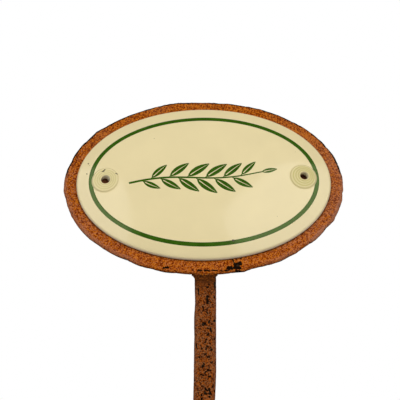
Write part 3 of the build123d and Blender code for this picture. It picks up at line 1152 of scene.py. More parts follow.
# How far the plate's outline lies inside a true oval, as (degrees round it, millimetres), below 0 outside it
PLATE_OUTLINE = (
    (0, 0.12), (2.7, 0.06), (5.2, -0.1), (7.6, 0.18), (10, 0.2), (12.4, 0.1), (14.7, 0.12), (17, 0.0),
    (19.4, -0.1), (21.6, 0.0), (24, 0.08), (26, 0.17), (28.2, -0.04), (30.2, 0.0), (32.3, 0.13),
    (36, 0.05), (38, 0.1), (41.8, -0.04), (43.5, 0.03), (45.2, 0.16), (47, 0.11), (48.5, 0.34),
    (51.6, 0.24), (53.2, 0.11), (56, -0.08), (57.5, 0.05), (61.5, 0.12), (65.2, -0.03), (66.4, 0.2),
    (67.6, 0.08), (68.8, 0.24), (70, 0.13), (71, 0.23), (74.3, 0.32), (76.4, 0.3), (78, 0.14),
    (79.4, 0.2), (80.4, 0.4), (83.3, 0.63), (84.3, 0.44), (86.2, 0.32), (88, 0.45), (91, 0.4),
    (93, 0.3), (97, 0.1), (99, -0.1), (100.6, -0.45), (101.6, -0.37), (102.6, -0.16), (104.7, -0.34),
    (105.7, -0.16), (106.8, -0.28), (108, -0.05), (111, -0.15), (113.5, 0.08), (117, 0.16), (121, 0.24),
    (123.7, 0.12), (125, 0.18), (129.5, 0.07), (134.3, 0.0), (136, 0.1), (137.7, 0.0), (139.5, -0.25),
    (141.3, -0.55), (143, -0.27), (145, -0.04), (149, 0.17), (151, -0.08), (155, 0.03), (160, 0.08),
    (162, 0.18), (164.2, 0.38), (166.5, 0.28), (169, 0.0), (171.3, 0.08), (176, 0.0), (181, 0.0),
    (185.5, -0.2), (186.7, -0.04), (189.1, 0.32), (191.5, 0.34), (194, 0.2), (198.5, 0.28),
    (200.7, 0.06), (203, 0.2), (205, 0.04), (211, -0.03), (217, -0.08), (221, 0.17), (222.6, 0.2),
    (224.3, 0.1), (231, 0.08), (233.7, 0.14), (236.5, 0.33), (238, 0.43), (239.2, 0.17), (241.7, -0.1),
    (244, -0.2), (245.4, -0.11), (246.6, -0.2), (249, 0.03), (251, -0.14), (255, -0.2), (257, -0.02),
    (259.2, 0.2), (263, 0.2), (278.8, 0.12), (282, 0.15), (285.8, -0.2), (287, 0.06), (289, 0.37),
    (292.4, 0.4), (293.5, 0.16), (296, 0.2), (297, 0.0), (302, -0.18), (303.7, -0.09), (306, 0.12),
    (309.6, 0.05), (311.2, 0.28), (314.4, 0.42), (316, 0.44), (318, 0.18), (321.5, 0.0), (325, 0.25),
    (327.3, 0.33), (329.3, 0.5), (331.4, 0.3), (333.5, 0.02), (335.7, -0.28), (338, 0.02),
    (342.5, 0.03), (349.5, -0.15), (352, 0.13), (354.3, 0.25), (355.4, 0.08), (357.8, 0.18),
)

# Marks on the plate's front, each as (start across, start up, end across, end up, radius) in millimetres
SCALE_PATCH = (
    (9.5, -38.0, 9.8, -38.3, 0.83), (10.5, -38.0, 10.8, -38.4, 0.66), (10.8, -38.2, 12.2, -38.0, 0.62),
    (12.4, -36.6, 12.8, -37.8, 0.87), (13.2, -37.8, 14.1, -38.2, 0.74), (13.6, -36.5, 14.2, -36.0, 0.83),
    (14.6, -36.1, 14.7, -36.6, 0.5), (12.2, -36.3, 12.6, -36.2, 0.37), (8.3, -39.2, 9.6, -39.3, 0.33),
    (12.5, -39.3, 14.3, -39.4, 0.37), (15.4, -39.4, 15.7, -39.6, 0.29),
)
SCALE_CRACKS = (
    (11.2, -34.4, 11.4, -34.9, 0.25), (11.4, -34.9, 11.7, -35.7, 0.3), (14.9, -33.6, 14.6, -34.2, 0.22),
)
WELD_SEAM = (
    (-4.4, -39.1, -4.1, -39.2, 0.2), (-2.3, -39.3, -1.4, -39.3, 0.66), (-1.1, -39.3, -0.9, -39.3, 0.16),
    (0.4, -39.2, 1.0, -39.3, 0.56), (1.0, -39.4, 1.9, -39.3, 0.44), (2.9, -39.2, 3.6, -39.1, 0.28),
    (3.6, -39.1, 5.2, -39.3, 0.32), (6.4, -39.2, 7.2, -39.5, 0.34),
)
EDGE_NICKS = (
    (-16.1, -38.0, -14.1, -37.7, 0.4), (-45.5, 24.9, -44.8, 25.3, 0.4), (-50.4, 18.8, -49.8, 19.5, 0.4),
    (8.3, 36.7, 8.7, 36.8, 0.3), (20.4, 37.0, 21.1, 36.9, 0.24), (50.9, 18.2, 51.5, 17.5, 0.35),
)


def plate_rows(steel):
    """Rows of (half width, half height, depth) from the middle of the plate's front to that of its back."""
    half_width = PLATE_HIGH.x
    half_height = (PLATE_HIGH.z - PLATE_LOW.z) / 2
    thick = PLATE_HIGH.y - PLATE_LOW.y
    inner_width, inner_height = half_width - PLATE_MARGIN, half_height - PLATE_MARGIN
    insets = np.arange(PLATE_MARGIN, steel.plate_round, -steel.plate_grid)
    front = [(s * inner_width, s * inner_height, 0) for s in PLATE_RING_SHARES]
    front += [(half_width - i, half_height - i, 0) for i in insets]
    edge = []
    for turn in np.linspace(0, math.pi / 2, PLATE_EDGE_ROWS):
        inset = steel.plate_round * (1 - math.sin(turn))
        drop = steel.plate_round * (1 - math.cos(turn))
        edge.append((half_width - inset, half_height - inset, drop))
    edge += [(half_width, half_height, thick / 2)] + [(w, h, thick - d) for w, h, d in reversed(edge)]
    back = [(half_width - i, half_height - i, thick) for i in reversed(insets)]
    steps = int(inner_width / steel.back_grid)
    back += [(s * inner_width, s * inner_height, thick) for s in np.linspace(1, 0, steps)[1:-1]]
    return front + edge + back


def marks_on_plate(points):
    """How dark each point of the plate is with scale, seams and nicks."""
    places = np.stack([points[:, 0], points[:, 2] - HEAD_HEIGHT], 1) / MM
    ragged = waves(points, MARK_NOISE, seed=11, octaves=2)
    places = places + MARK_WANDER * np.stack([ragged, -ragged], 1)
    dark = np.zeros(len(points))
    for x0, y0, x1, y1, radius in SCALE_PATCH + SCALE_CRACKS + WELD_SEAM + EDGE_NICKS:
        dark = np.maximum(dark, stroke_shade(places, (x0, y0), (x1, y1), radius))
    return dark * (points[:, 1] < SEAT + MARK_BACK)


def round_the_plate(points):
    """The sine and cosine of each point's turn round the plate's oval."""
    across = points[:, 0] / PLATE_HIGH.x
    up = (points[:, 2] - HEAD_HEIGHT) / (PLATE_HIGH.z - HEAD_HEIGHT)
    out = np.maximum(np.hypot(across, up), TINY)
    return up / out, across / out


def edge_shades(points, inset):
    """Painted shade, painted light and the painted black edge at each point of the plate, near its edge and
    near the label.
    """
    up, across = round_the_plate(points)
    uneven = waves(points, EDGE_NOISE, seed=12, octaves=2)
    along = waves(points, PATCH_NOISE, seed=14, octaves=2)
    behind = points[:, 1] - SEAT + EDGE_RAGGED * uneven
    above = smooth(*UPPER_RANGE, up)
    # Painted shade: a band on the edge's rear part, and a ragged line along the top
    rear = smooth(DARK_FROM, DARK_FROM + DARK_SOFT, behind) * smooth(DARK_TO, DARK_TO - DARK_SOFT, behind)
    front = smooth(TOP_LINE, TOP_SOFT_SHARE * TOP_LINE, inset + TOP_RAGGED * (uneven - TOP_PATCHY * along))
    dark = np.maximum(rear, above * front)
    # Painted highlight along the edge at the left and right, low down, and painted sheen on the right side
    band = smooth(BAND_WIDTH, BAND_SOFT_SHARE * BAND_WIDTH, inset + BAND_RAGGED * uneven)
    band = band * smooth(BAND_BACK_START, BAND_BACK_END, behind)
    sides = smooth(*SIDE_RANGE, np.abs(across)) * (1 - above)
    painted_light = band * sides * np.clip(BAND_PATCHY * (1 + along), 0, 1)
    painted_light += SIDE_SHEEN * smooth(*SIDE_SHEEN_RANGE, across) * (1 + along)
    in_front = points[:, 1] < SEAT + FRONT_DEPTH
    # Painted shadow round the label, and painted shade on the underside, the covered part and all but the
    # lowest stretch
    label_shadow = smooth(LABEL_SHADOW_OUT, LABEL_SHADOW_IN, inset) * (LABEL_SHADOW_LEAST + LABEL_SHADOW_MORE * smooth(*LABEL_SHADOW_RANGE, up))
    below = smooth(*BELOW_RANGE, up) * smooth(BELOW_START, BELOW_END, behind)
    covered = in_front * smooth(COVERED_FROM, COVERED_FROM + COVERED_SOFT, inset)
    shade_above_bottom = smooth(*SHADE_ABOVE_BOTTOM_RANGE, up)
    shades = zip(PAINTED_SHADE_STRENGTHS, (dark, in_front * label_shadow, below, covered, shade_above_bottom))
    painted_shade = np.max([strength * shade for strength, shade in shades], axis=0)
    # The shaded edge painted black like scale
    black_edge = BLACK_EDGE * dark * smooth(*BLACK_EDGE_RANGE, along + BLACK_EDGE_ABOVE * above)
    # The covered part, seen only through the holes, takes the pink of the painted light
    return painted_shade, np.maximum(painted_light, covered), black_edge


def plate_shape(rows):
    """Points and faces of the plate, with its outline as it was cut."""
    turn = np.arange(PLATE_POINTS) * math.tau / PLATE_POINTS
    degrees, cuts = np.array(PLATE_OUTLINE).T
    cut = np.interp(np.degrees(turn), degrees, cuts, period=360) * MM
    points = []
    for half_width, half_height, depth in rows:
        x, y = oval_ring(half_width, half_height, PLATE_POINTS)
        near = np.clip(1 - (PLATE_HIGH.x - half_width) / PLATE_MARGIN, 0, 1) * cut
        slant = np.hypot(np.cos(turn) / half_width, np.sin(turn) / half_height)
        x = x - near * np.cos(turn) / half_width / slant
        y = y - near * np.sin(turn) / half_height / slant
        points += [*on_label(x, y, -depth)]
    faces = grid_faces(len(rows), PLATE_POINTS)
    for ring, depth in ((0, 0), (len(rows) - 1, rows[-1][2])):
        points.append(on_label(0, 0, -depth))
        first = ring * PLATE_POINTS
        faces += fan_faces(len(points) - 1, range(first, first + PLATE_POINTS))
    return points, faces


def build_plate(steel):
    """The oval back plate, its rust pressed into the mesh."""
    rows = plate_rows(steel)
    plate = make_object("rusted_plate", *plate_shape(rows))
    points = points_of(plate)
    insets = [PLATE_HIGH.x - half_width for half_width, _, _ in rows for _ in range(PLATE_POINTS)]
    inset = np.array([*insets, PLATE_HIGH.x, PLATE_HIGH.x])
    arris = smooth(ARRIS_START, ARRIS_END, inset)
    fine = waves(points, PLATE_FINE, seed=1)
    slow = waves(points, PLATE_SLOW, seed=2)
    uneven = smooth(*PLATE_UNEVEN_RANGE, waves(points, PLATE_UNEVEN, seed=4, octaves=4))
    pits = smooth(*PLATE_PIT_RANGE, waves(points, PLATE_PITS, seed=6, octaves=2))
    marks = marks_on_plate(points)
    depth = steel.plate_relief * relief(PLATE_RELIEF, fine, slow) + steel.edge_wear * arris * uneven
    depth += steel.pit_depth * (PLATE_PIT_DEPTH * pits + MARK_DEPTH * marks)
    press_in(plate, np.clip(depth, 0, 2 * steel.pit_depth))
    # Painted shade, painted light and the painted black edge
    painted_shade, painted_light, black_edge = edge_shades(points, inset)
    up = round_the_plate(points)[0]
    paint(plate, "relief", relief(PLATE_SHADE, fine, slow) - PIT_SHADE * pits)
    # Pits and marks, with the painted black edge
    paint(plate, "pit_and_shade", np.max([marks, black_edge, ARRIS_PITS * pits * arris], axis=0))
    paint(plate, "painted_light", painted_light)
    paint(plate, "painted_shade", painted_shade)
    # Orange grains on the upper and lower stretches, where no sheen is painted
    paint(plate, "orange_grains", sum(strength * smooth(start, end, up) for strength, start, end in ORANGE_GRAINS))
    return plate


# Rusted bar

# The bar's mesh: points along a side and round a corner, and rings of its top end, its chamfer and its tip
BAR_SIDE_POINTS = 17
BAR_CORNER_POINTS = 7
BAR_END_SHARES = (0.25, 0.5, 0.75, 0.93)
CHAMFER_ROWS = 4
CHAMFER_CLEAR = 1.3
TIP_ROUND = 0.2 * MM
TIP_SHARES = (0.8, 0.4)

# The bar's waves, its uneven arrises and the hammer's blows
BAR_FINE = 1.3 * MM
BAR_SLOW = 11 * MM
BAR_UNEVEN = 7 * MM
BAR_UNEVEN_RANGE = (-0.1, 0.8)
BLOW_SIZE = 5 * MM
BLOW_RANGE = (-0.2, 0.5)
BLOW_DEPTH = 0.35 * MM
FORGED_SOFT = 6 * MM
CORNER_RANGE = (0.80, 1.0)

# Weights of (level, fine waves, slow waves) in the bar's depth and in its shade, and the most it is pressed
BAR_RELIEF = (0.5, -0.35, -0.4)
BAR_SHADE = (0.5, 0.45, 0.2)
DEEPEST_SHARE = 0.3
DEEPEST_AT_TIP = 0.02 * MM

# Heights between which painted shadow from the plate's overhang darkens the bar's front, and how strongly
BAR_SHADOW_START = PLATE_LOW.z - 1.0 * MM
BAR_SHADOW_MIDDLE = PLATE_LOW.z - 4.5 * MM
BAR_SHADOW_END = PLATE_LOW.z - 10.0 * MM
BAR_SHADOW_FAINT = 0.52
BAR_SHADOW_STRONG = 0.45

# Lighter rust further down the bar, and painted highlights on its corners
BAR_LIGHTER_END = 84 * MM
BAR_LIGHTER_START = 55 * MM
BAR_LIGHTER = 0.45
CORNER_HIGHLIGHT = 0.5
CORNER_HIGHLIGHT_RANGE = (0.6, 0.85)

# Length above the tip over which the bar's bow grows, and over which a face's shift is eased
BOW_GROWS = 40 * MM
FACE_EASE = 2.5 * MM

# How far the bar's right and left faces stand to the right of a true bar's, as (height, shift) in mm
RIGHT_FACE = (
    (30, 0.15), (45, 0.0), (53, -0.42), (57, -0.4), (61, -0.1), (68, 0.33), (76, 0.43), (86, 0.6),
    (96, 0.72), (112, 0.78), (154, 0.2),
)
LEFT_FACE = (
    (30, -0.15), (45, -0.3), (54, -0.4), (57, -0.45), (62, -0.55), (68, -0.3), (80, -0.23), (87, -0.05),
    (93, -0.25), (97, 0.2), (101, 0.35), (104, 0.12), (112, 0.1), (154, -0.2),
)

# The pits: how far their borders wander, and the size of that wandering
PIT_WANDER = 0.14 * MM
PIT_NOISE = 0.8 * MM

# Scattered pits: how many, how far across a face, their lean, and their reaches and radii in millimetres
PIT_SEED = 7
SCATTERED_PITS = 760
PIT_SPREAD = 0.97
PIT_LEAN = 0.6
PIT_REACHES = (0.1, 1.1)
PIT_RADII = (0.2, 0.24, 0.3, 0.38, 0.5)
LOWEST_PIT = 0.25
FRONT_FACE = 3

# The stretch of the front whose pits are given, and how near the front face a point of it lies
GIVEN_LOW = 60 * MM
GIVEN_HIGH = 108 * MM
FRONT_SHARE = 0.45

# Pits on the bar's front, each as (start across, start height, end across, end height, radius) in millimetres
FRONT_PITS = (
    (4.3, 107.0, 4.3, 105.0, 0.45), (-2.3, 107.6, -2.3, 105.0, 0.18), (-2.3, 104.6, -2.3, 102.1, 0.22),
    (-0.5, 108.7, 0.1, 108.6, 0.32), (-3.0, 109.0, -2.6, 108.4, 0.36), (1.5, 105.2, 1.0, 104.8, 0.32),
    (1.7, 106.2, 2.3, 105.9, 0.24), (2.8, 102.0, 2.8, 101.9, 0.36), (4.1, 100.8, 4.1, 100.6, 0.42),
    (1.0, 101.0, 1.2, 98.1, 0.44), (1.4, 99.1, 2.6, 98.7, 0.28), (1.4, 101.1, 2.3, 100.9, 0.24),
    (-0.6, 96.8, -0.4, 95.4, 0.32), (0.9, 94.3, 1.2, 94.1, 0.4), (1.5, 90.1, 1.9, 91.1, 0.34),
    (3.8, 90.9, 4.1, 91.1, 0.52), (-0.6, 89.9, 0.3, 90.0, 0.46), (-0.7, 89.3, -0.4, 89.5, 0.48),
    (2.3, 87.7, 2.5, 86.7, 0.44), (1.2, 87.9, 1.2, 87.8, 0.28), (4.1, 88.1, 4.1, 88.0, 0.26),
    (0.9, 85.1, 1.5, 85.7, 0.38), (-3.5, 85.5, -3.5, 85.2, 0.3), (0.6, 83.6, 0.6, 83.4, 0.28),
    (0.1, 82.3, 0.1, 82.2, 0.32), (-3.3, 81.7, -3.2, 80.3, 0.3), (0.9, 81.0, 0.5, 79.3, 0.3),
    (2.2, 80.3, 2.6, 79.1, 0.28), (-1.1, 79.8, -1.1, 79.6, 0.4), (0.5, 77.9, 0.3, 77.5, 0.36),
    (-2.1, 76.5, -2.1, 76.3, 0.34), (1.1, 76.2, 1.7, 76.6, 0.3), (-0.3, 73.7, -0.9, 72.5, 0.44),
    (2.8, 74.2, 2.8, 74.0, 0.36), (4.0, 73.9, 4.0, 73.7, 0.28), (1.6, 72.2, 1.6, 72.0, 0.28),
    (-0.1, 70.0, 0.6, 70.7, 0.28), (1.0, 71.1, 2.1, 71.1, 0.24), (-1.4, 69.5, -0.5, 69.0, 0.28),
    (1.3, 68.8, 2.1, 68.8, 0.28), (3.2, 67.3, 3.2, 67.2, 0.28), (3.2, 65.5, 2.8, 64.6, 0.28),
    (-1.3, 65.0, -1.3, 64.8, 0.28), (0.1, 63.9, 0.6, 63.4, 0.4), (0.0, 62.4, 0.1, 62.2, 0.58),
    (1.6, 64.1, 1.7, 63.0, 0.36), (1.8, 62.3, 2.0, 62.2, 0.58), (1.7, 61.0, 1.7, 60.9, 0.4),
    (-2.5, 62.5, -2.5, 62.3, 0.28), (-1.3, 61.5, -1.3, 61.3, 0.4), (-1.3, 60.2, -1.3, 60.0, 0.48),
)


def quarter(turns):
    """The cosine and sine of this many quarter turns."""
    return round(math.cos(turns * math.pi / 2)), round(math.sin(turns * math.pi / 2))


def square_ring(half, corner, per_side, per_corner):
    """Places round a square with rounded corners, anticlockwise."""
    flat = half - corner
    side = [(half, flat * t) for t in np.linspace(-1, 1, per_side, endpoint=False)]
    turns = np.linspace(0, math.pi / 2, per_corner, endpoint=False)
    bend = [(flat + corner * math.cos(a), flat + corner * math.sin(a)) for a in turns]
    ring = []
    for face in range(4):
        c, s = quarter(face)
        ring += [(x * c - y * s, x * s + y * c) for x, y in side + bend]
    return np.array(ring)


def scattered_pits(steel):
    """Pits in all four faces, as (start, end, radius), but not where the front's own pits are given."""
    draw = random.Random(PIT_SEED)
    half = BAR_HIGH.x
    for _ in range(SCATTERED_PITS):
        face = draw.randrange(4)
        across = draw.uniform(-PIT_SPREAD, PIT_SPREAD) * half
        height = draw.uniform(BAR_LOW.z + LOWEST_PIT * steel.point, BAR_HIGH.z)
        lean = draw.gauss(0, PIT_LEAN)
        reach = draw.uniform(*PIT_REACHES) * MM
        radius = draw.choice(PIT_RADII) * MM
        if face == FRONT_FACE and GIVEN_LOW < height < GIVEN_HIGH:
            continue
        c, s = quarter(face)
        rise, side = reach * math.cos(lean), reach * math.sin(lean)
        ends = [(half, across, height), (half, across + side, height + rise)]
        start, end = ((x * c - y * s, x * s + y * c, z) for x, y, z in ends)
        yield start, end, radius


def face_shift(heights, face):
    """The shift at each height, eased over a short way up and down."""
    levels, shifts = np.array(face).T * MM
    return np.mean([np.interp(heights + way * FACE_EASE, levels, shifts) for way in np.linspace(-1, 1, 5)], 0)


def lean_bar(points):
    """Widens and bows the bar a little, as rolling, forging and welding left it."""
    half = BAR_HIGH.x
    across = np.clip(points[:, 0] / half, -1, 1)
    right, left = face_shift(points[:, 2], RIGHT_FACE), face_shift(points[:, 2], LEFT_FACE)
    grown = np.clip((points[:, 2] - BAR_LOW.z) / BOW_GROWS, 0, 1)
    points[:, 0] += grown * (left + (right - left) * (across + 1) / 2)
    return points


def pits_on_bar(points, steel):
    """How deep in a pit each point of the bar lies, from 0 to 1."""
    ragged = waves(points, PIT_NOISE, seed=21, octaves=2)
    places = points + PIT_WANDER * np.stack([ragged, ragged, -ragged], 1)
    dark = np.zeros(len(points))
    front = points[:, 1] < FRONT_SHARE * BAR_LOW.y
    seen = places[:, (0, 2)] / MM
    for x0, z0, x1, z1, radius in FRONT_PITS:
        dark = np.maximum(dark, front * stroke_shade(seen, (x0, z0), (x1, z1), radius))
    for start, end, radius in scattered_pits(steel):
        low, high = sorted((start[2], end[2]))
        near = np.flatnonzero((points[:, 2] > low - 2 * radius) & (points[:, 2] < high + 2 * radius))
        dark[near] = np.maximum(dark[near], stroke_shade(places[near], start, end, radius))
    return dark


def bar_shape(steel):
    """Points and faces of the straight bar, from its top end down to the point's tip."""
    half, top, foot = BAR_HIGH.x, BAR_HIGH.z, BAR_LOW.z
    chamfer, tip = steel.end_chamfer, steel.tip_half
    shoulder = foot + steel.point
    rows = [(s * (half - chamfer), top) for s in BAR_END_SHARES]
    rows += [(half - chamfer * (1 - t), top - chamfer * t) for t in np.linspace(0, 1, CHAMFER_ROWS)]
    rows += [(half, z) for z in np.arange(top - CHAMFER_CLEAR * chamfer, shoulder, -steel.bar_grid)]
    for z in np.arange(shoulder, foot + steel.bar_grid, -steel.bar_grid):
        rows.append((tip + (half - tip) * ((z - foot) / steel.point), z))
    rows += [(tip, foot + TIP_ROUND)] + [(s * tip, foot) for s in TIP_SHARES]
    unit = square_ring(1, steel.corner / half, BAR_SIDE_POINTS, BAR_CORNER_POINTS)
    points = [(x * h, y * h, z) for h, z in rows for x, y in unit]
    faces = grid_faces(len(rows), len(unit))
    for ring, z in ((0, top), (len(rows) - 1, foot)):
        points.append((0, 0, z))
        faces += fan_faces(len(points) - 1, range(ring * len(unit), (ring + 1) * len(unit)))
    return np.array(points), faces


def build_bar(steel):
    """The square bar with rolled corners, pits, uneven arrises and a hammered point."""
    points, faces = bar_shape(steel)
    bar = make_object("rusted_bar", lean_bar(points.copy()), faces)
    out = np.abs(points[:, :2])
    height = points[:, 2]
    fine = waves(points, BAR_FINE, seed=31)
    slow = waves(points, BAR_SLOW, seed=32)
    uneven = smooth(*BAR_UNEVEN_RANGE, waves(points, BAR_UNEVEN, seed=34))
    blows = smooth(*BLOW_RANGE, waves(points, BLOW_SIZE, seed=35, octaves=1))
    to_corner = out.min(axis=1) / BAR_HIGH.x
    corners = smooth(*CORNER_RANGE, to_corner)
    shoulder = BAR_LOW.z + steel.point
    forged = smooth(shoulder + FORGED_SOFT, shoulder - FORGED_SOFT, height)
    pits = pits_on_bar(points_of(bar), steel)
    depth = steel.bar_relief * relief(BAR_RELIEF, fine, slow) + steel.arris_wear * corners * uneven
    depth += steel.pit_depth * pits + BLOW_DEPTH * forged * blows
    press_in(bar, np.clip(depth, 0, DEEPEST_SHARE * out.max(axis=1) + DEEPEST_AT_TIP))
    # Painted shadow under the plate on the bar's front
    shaded = BAR_SHADOW_FAINT * smooth(BAR_SHADOW_END, BAR_SHADOW_MIDDLE, height)
    shaded += BAR_SHADOW_STRONG * smooth(BAR_SHADOW_MIDDLE, BAR_SHADOW_START, height)
    # Painted highlight on the bar's corners, below the painted shadow
    painted_light = CORNER_HIGHLIGHT * smooth(*CORNER_HIGHLIGHT_RANGE, to_corner)
    paint(bar, "relief", relief(BAR_SHADE, fine, slow) + BAR_LIGHTER * smooth(BAR_LIGHTER_END, BAR_LIGHTER_START, height))
    paint(bar, "pit_and_shade", pits)
    paint(bar, "painted_light", painted_light * (height < BAR_SHADOW_MIDDLE))
    paint(bar, "painted_shade", shaded * (points[:, 1] < 0))
    return bar


# Welds

# The side welds' mesh, and how their ends taper
WELD_GRID = 0.22 * MM
SIDE_COLUMNS = 18
SIDE_TAPER = 3.2 * MM
SIDE_END = 0.5 * MM

# Their ripples: how far each lags in the middle, its reach against the leg, and its depth
RIPPLE_LAG = 1.1
RIPPLE_REACH = 0.97
RIPPLE_DEPTH = 0.09

# How far a side weld lies in the bar and the plate, how much further it reaches, and its root
IN_BAR = 0.25 * MM
IN_PLATE = 0.15 * MM
MORE_ACROSS = 0.2 * MM
MORE_BACK = 0.1 * MM
ROOT_ACROSS = 0.9 * MM
ROOT_BACK = 0.1 * MM

# The front weld's mesh, its hollow, and where it starts and ends
WELD_ROWS = 64
WELD_COLUMNS = 18
WELD_SINK = 0.35 * MM
WELD_HOLLOW = 1.7
WELD_OVERLAP = 0.5 * MM
WELD_BACK = 0.6 * MM
WELD_SHIFT_LEFT = 0.1 * MM
WELD_SHIFT_RIGHT = 0.5 * MM
FLARE_LEFT = 1.1 * MM
FLARE_RIGHT = 0.85 * MM

# The welds' rust: its grain and depth, its pits, and the painted shade on the part behind the plate's front
WELD_NOISE = 1.0 * MM
WELD_RELIEF = 0.07 * MM
WELD_LEVEL = 0.5
WELD_SHADE = 0.5
WELD_PITS = 1.6 * MM
WELD_PIT_RANGE = (0.35, 0.6)
WELD_PIT_DARK = 0.6
WELD_SHADOW_FROM = SEAT + 0.95 * MM
WELD_SHADOW_SOFT = 0.5 * MM
WELD_SHADOW_RAGGED = 0.2 * MM
WELD_SHADOW_DARK = 0.85


def build_side_weld(name, steel):
    """One rippled fillet weld between the bar's side and the plate's back."""
    low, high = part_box(name)
    side = 1 if high.x > 0 else -1
    half, back = BAR_HIGH.x, PLATE_HIGH.y
    leg = max(abs(low.x), abs(high.x)) - half
    rows, columns = int((high.z - low.z) / WELD_GRID), SIDE_COLUMNS
    points = []
    for z in np.linspace(low.z, high.z, rows):
        taper = float(smooth(0, SIDE_TAPER, min(z - low.z, high.z - z) + SIDE_END))
        for t in np.linspace(0, 1, columns):
            turn = t * math.pi / 2
            crescent = (z / steel.weld_ripple + RIPPLE_LAG * math.sin(math.pi * t)) % 1
            reach = leg * taper * (RIPPLE_REACH - RIPPLE_DEPTH * crescent**2)
            flat = 1 / (math.cos(turn) + math.sin(turn))
            bulge = flat + steel.weld_bulge * (1 - flat) * math.sin(2 * turn)
            x = half - IN_BAR + (reach + MORE_ACROSS) * bulge * math.cos(turn)
            y = back - IN_PLATE + (reach + MORE_BACK) * bulge * math.sin(turn)
            points.append((side * x, y, z))
        points.append((side * (half - ROOT_ACROSS), back - ROOT_BACK, z))
    columns += 1
    faces = grid_faces(rows, columns)
    faces += [tuple(range(columns)), tuple(range((rows - 1) * columns, rows * columns))]
    return rusted_weld(name.replace("weld", "weld_bead"), points, faces)


def build_front_weld(steel):
    """The bead under the plate's lower arris on the bar's front, with a small flare at each side."""
    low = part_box("weld_front")[0]
    drop = PLATE_LOW.z - low.z
    half_width, half_height = PLATE_HIGH.x, PLATE_HIGH.z - HEAD_HEIGHT
    start = -BAR_HIGH.x + WELD_SHIFT_LEFT - FLARE_LEFT
    end = BAR_HIGH.x + WELD_SHIFT_RIGHT + FLARE_RIGHT
    points, tops = [], []
    for x in np.linspace(start, end, WELD_ROWS):
        flare = FLARE_LEFT if x < 0 else FLARE_RIGHT
        edge = start + FLARE_LEFT if x < 0 else end - FLARE_RIGHT
        out = np.clip((abs(x) - abs(edge) + WELD_OVERLAP) / (flare + WELD_OVERLAP), 0, 1)
        under = HEAD_HEIGHT - half_height * math.sqrt(1 - (x / half_width) ** 2)
        for y in np.linspace(low.y, BAR_LOW.y + WELD_BACK, WELD_COLUMNS):
            round_off = max(SEAT + steel.plate_round - y, 0)
            arris = steel.plate_round - math.sqrt(steel.plate_round**2 - round_off**2)
            forward = min((y - low.y) / (BAR_LOW.y - low.y), 1)
            hang = (drop + WELD_SINK) * (1 - out) ** 2 * forward**WELD_HOLLOW
            points.append((x, y, under + arris + WELD_SINK - hang))
            tops.append((x, y, under + arris + 2 * WELD_SINK))
    faces = grid_faces(WELD_ROWS, WELD_COLUMNS, closed=False)
    faces += grid_faces(WELD_ROWS, WELD_COLUMNS, start=len(points), closed=False)
    numbers = np.arange(len(points)).reshape(WELD_ROWS, WELD_COLUMNS)
    rim = np.concatenate([numbers[0], numbers[1:, -1], numbers[-1, -2::-1], numbers[-2:0:-1, 0]]).tolist()
    faces += [(a, b, b + len(points), a + len(points)) for a, b in zip(rim, following(rim))]
    return rusted_weld("weld_bead_front", points + tops, faces)


def rusted_weld(name, points, faces):
    """A weld bead with its rust pressed into the mesh."""
    bead = make_object(name, points, faces)
    points = points_of(bead)
    fine = waves(points, WELD_NOISE, seed=41)
    press_in(bead, np.clip(WELD_RELIEF * (WELD_LEVEL - fine), 0, 2 * WELD_RELIEF))
    pits = smooth(*WELD_PIT_RANGE, waves(points, WELD_PITS, seed=43))
    # Painted shade on the beads behind the plate's front, under its lower edge
    shaded = smooth(WELD_SHADOW_FROM, WELD_SHADOW_FROM + WELD_SHADOW_SOFT, points[:, 1] + WELD_SHADOW_RAGGED * fine)
    paint(bead, "relief", WELD_LEVEL + WELD_SHADE * fine)
    paint(bead, "pit_and_shade", WELD_PIT_DARK * pits)
    paint(bead, "painted_shade", WELD_SHADOW_DARK * shaded * (points[:, 1] < 0))
    return bead


# Specks

# A speck's points round it, how uneven its outline is, and its rings and middle points as (share, lift)
SPECK_POINTS = 16
SPECK_UNEVEN = 0.25
SPECK_RAGGED = 0.12
SPECK_RINGS = ((1.0, -0.4), (0.85, 0.8), (0.5, 1.3), (0.0, -0.4), (0.0, 1.4))

# Brown specks in the enamel, each as (across, up, radius, stretch) in millimetres and its lean in degrees
SPECKS = (
    (-41.4, 3.5, 0.27, 0.3, 0), (-41.0, 3.9, 0.24, 0.5, 45), (-35.7, 2.1, 0.36, 0.1, 0),
    (-47.8, 8.1, 0.24, 0.1, 20), (-48.2, 3.2, 0.22, 0.1, 0), (11.6, -27.6, 0.42, 0.25, 0),
    (-47.4, 7.2, 0.13, 0, 0), (29.5, -17.2, 0.12, 0, 0), (-20.6, 19.4, 0.13, 0, 0),
    (38.2, 12.9, 0.11, 0, 0),
)


def build_specks(label, pads, prints):
    """Small uneven brown specks that stand a little proud of the enamel and its prints."""
    points, faces = [], []
    turn = np.arange(SPECK_POINTS) * math.tau / SPECK_POINTS
    for number, (across, up, radius, stretch, lean) in enumerate(SPECKS):
        ragged = 1 + SPECK_UNEVEN * np.sin(2 * turn + number) + SPECK_RAGGED * np.sin(5 * turn + 2 * number)
        way = math.radians(lean)
        half = stretch * np.sign(np.cos(turn - way))
        reach_x = radius * ragged * np.cos(turn) + half * math.cos(way)
        reach_y = radius * ragged * np.sin(turn) + half * math.sin(way)
        first = len(points)
        for out, lift in SPECK_RINGS:
            x, y = (across + out * reach_x) * MM, (up + out * reach_y) * MM
            if out == 0:
                x, y = x[:1], y[:1]
            points += [*on_label(x, y, front_height(x, y, label, pads) + lift * prints.height)]
        rings = len(SPECK_RINGS) - 2
        low = first + rings * SPECK_POINTS
        faces += grid_faces(rings, SPECK_POINTS, start=first)
        faces += fan_faces(low, range(first, first + SPECK_POINTS))
        faces += fan_faces(low + 1, range(low - SPECK_POINTS, low))
    return make_object("enamel_specks", points, faces)


# Studio

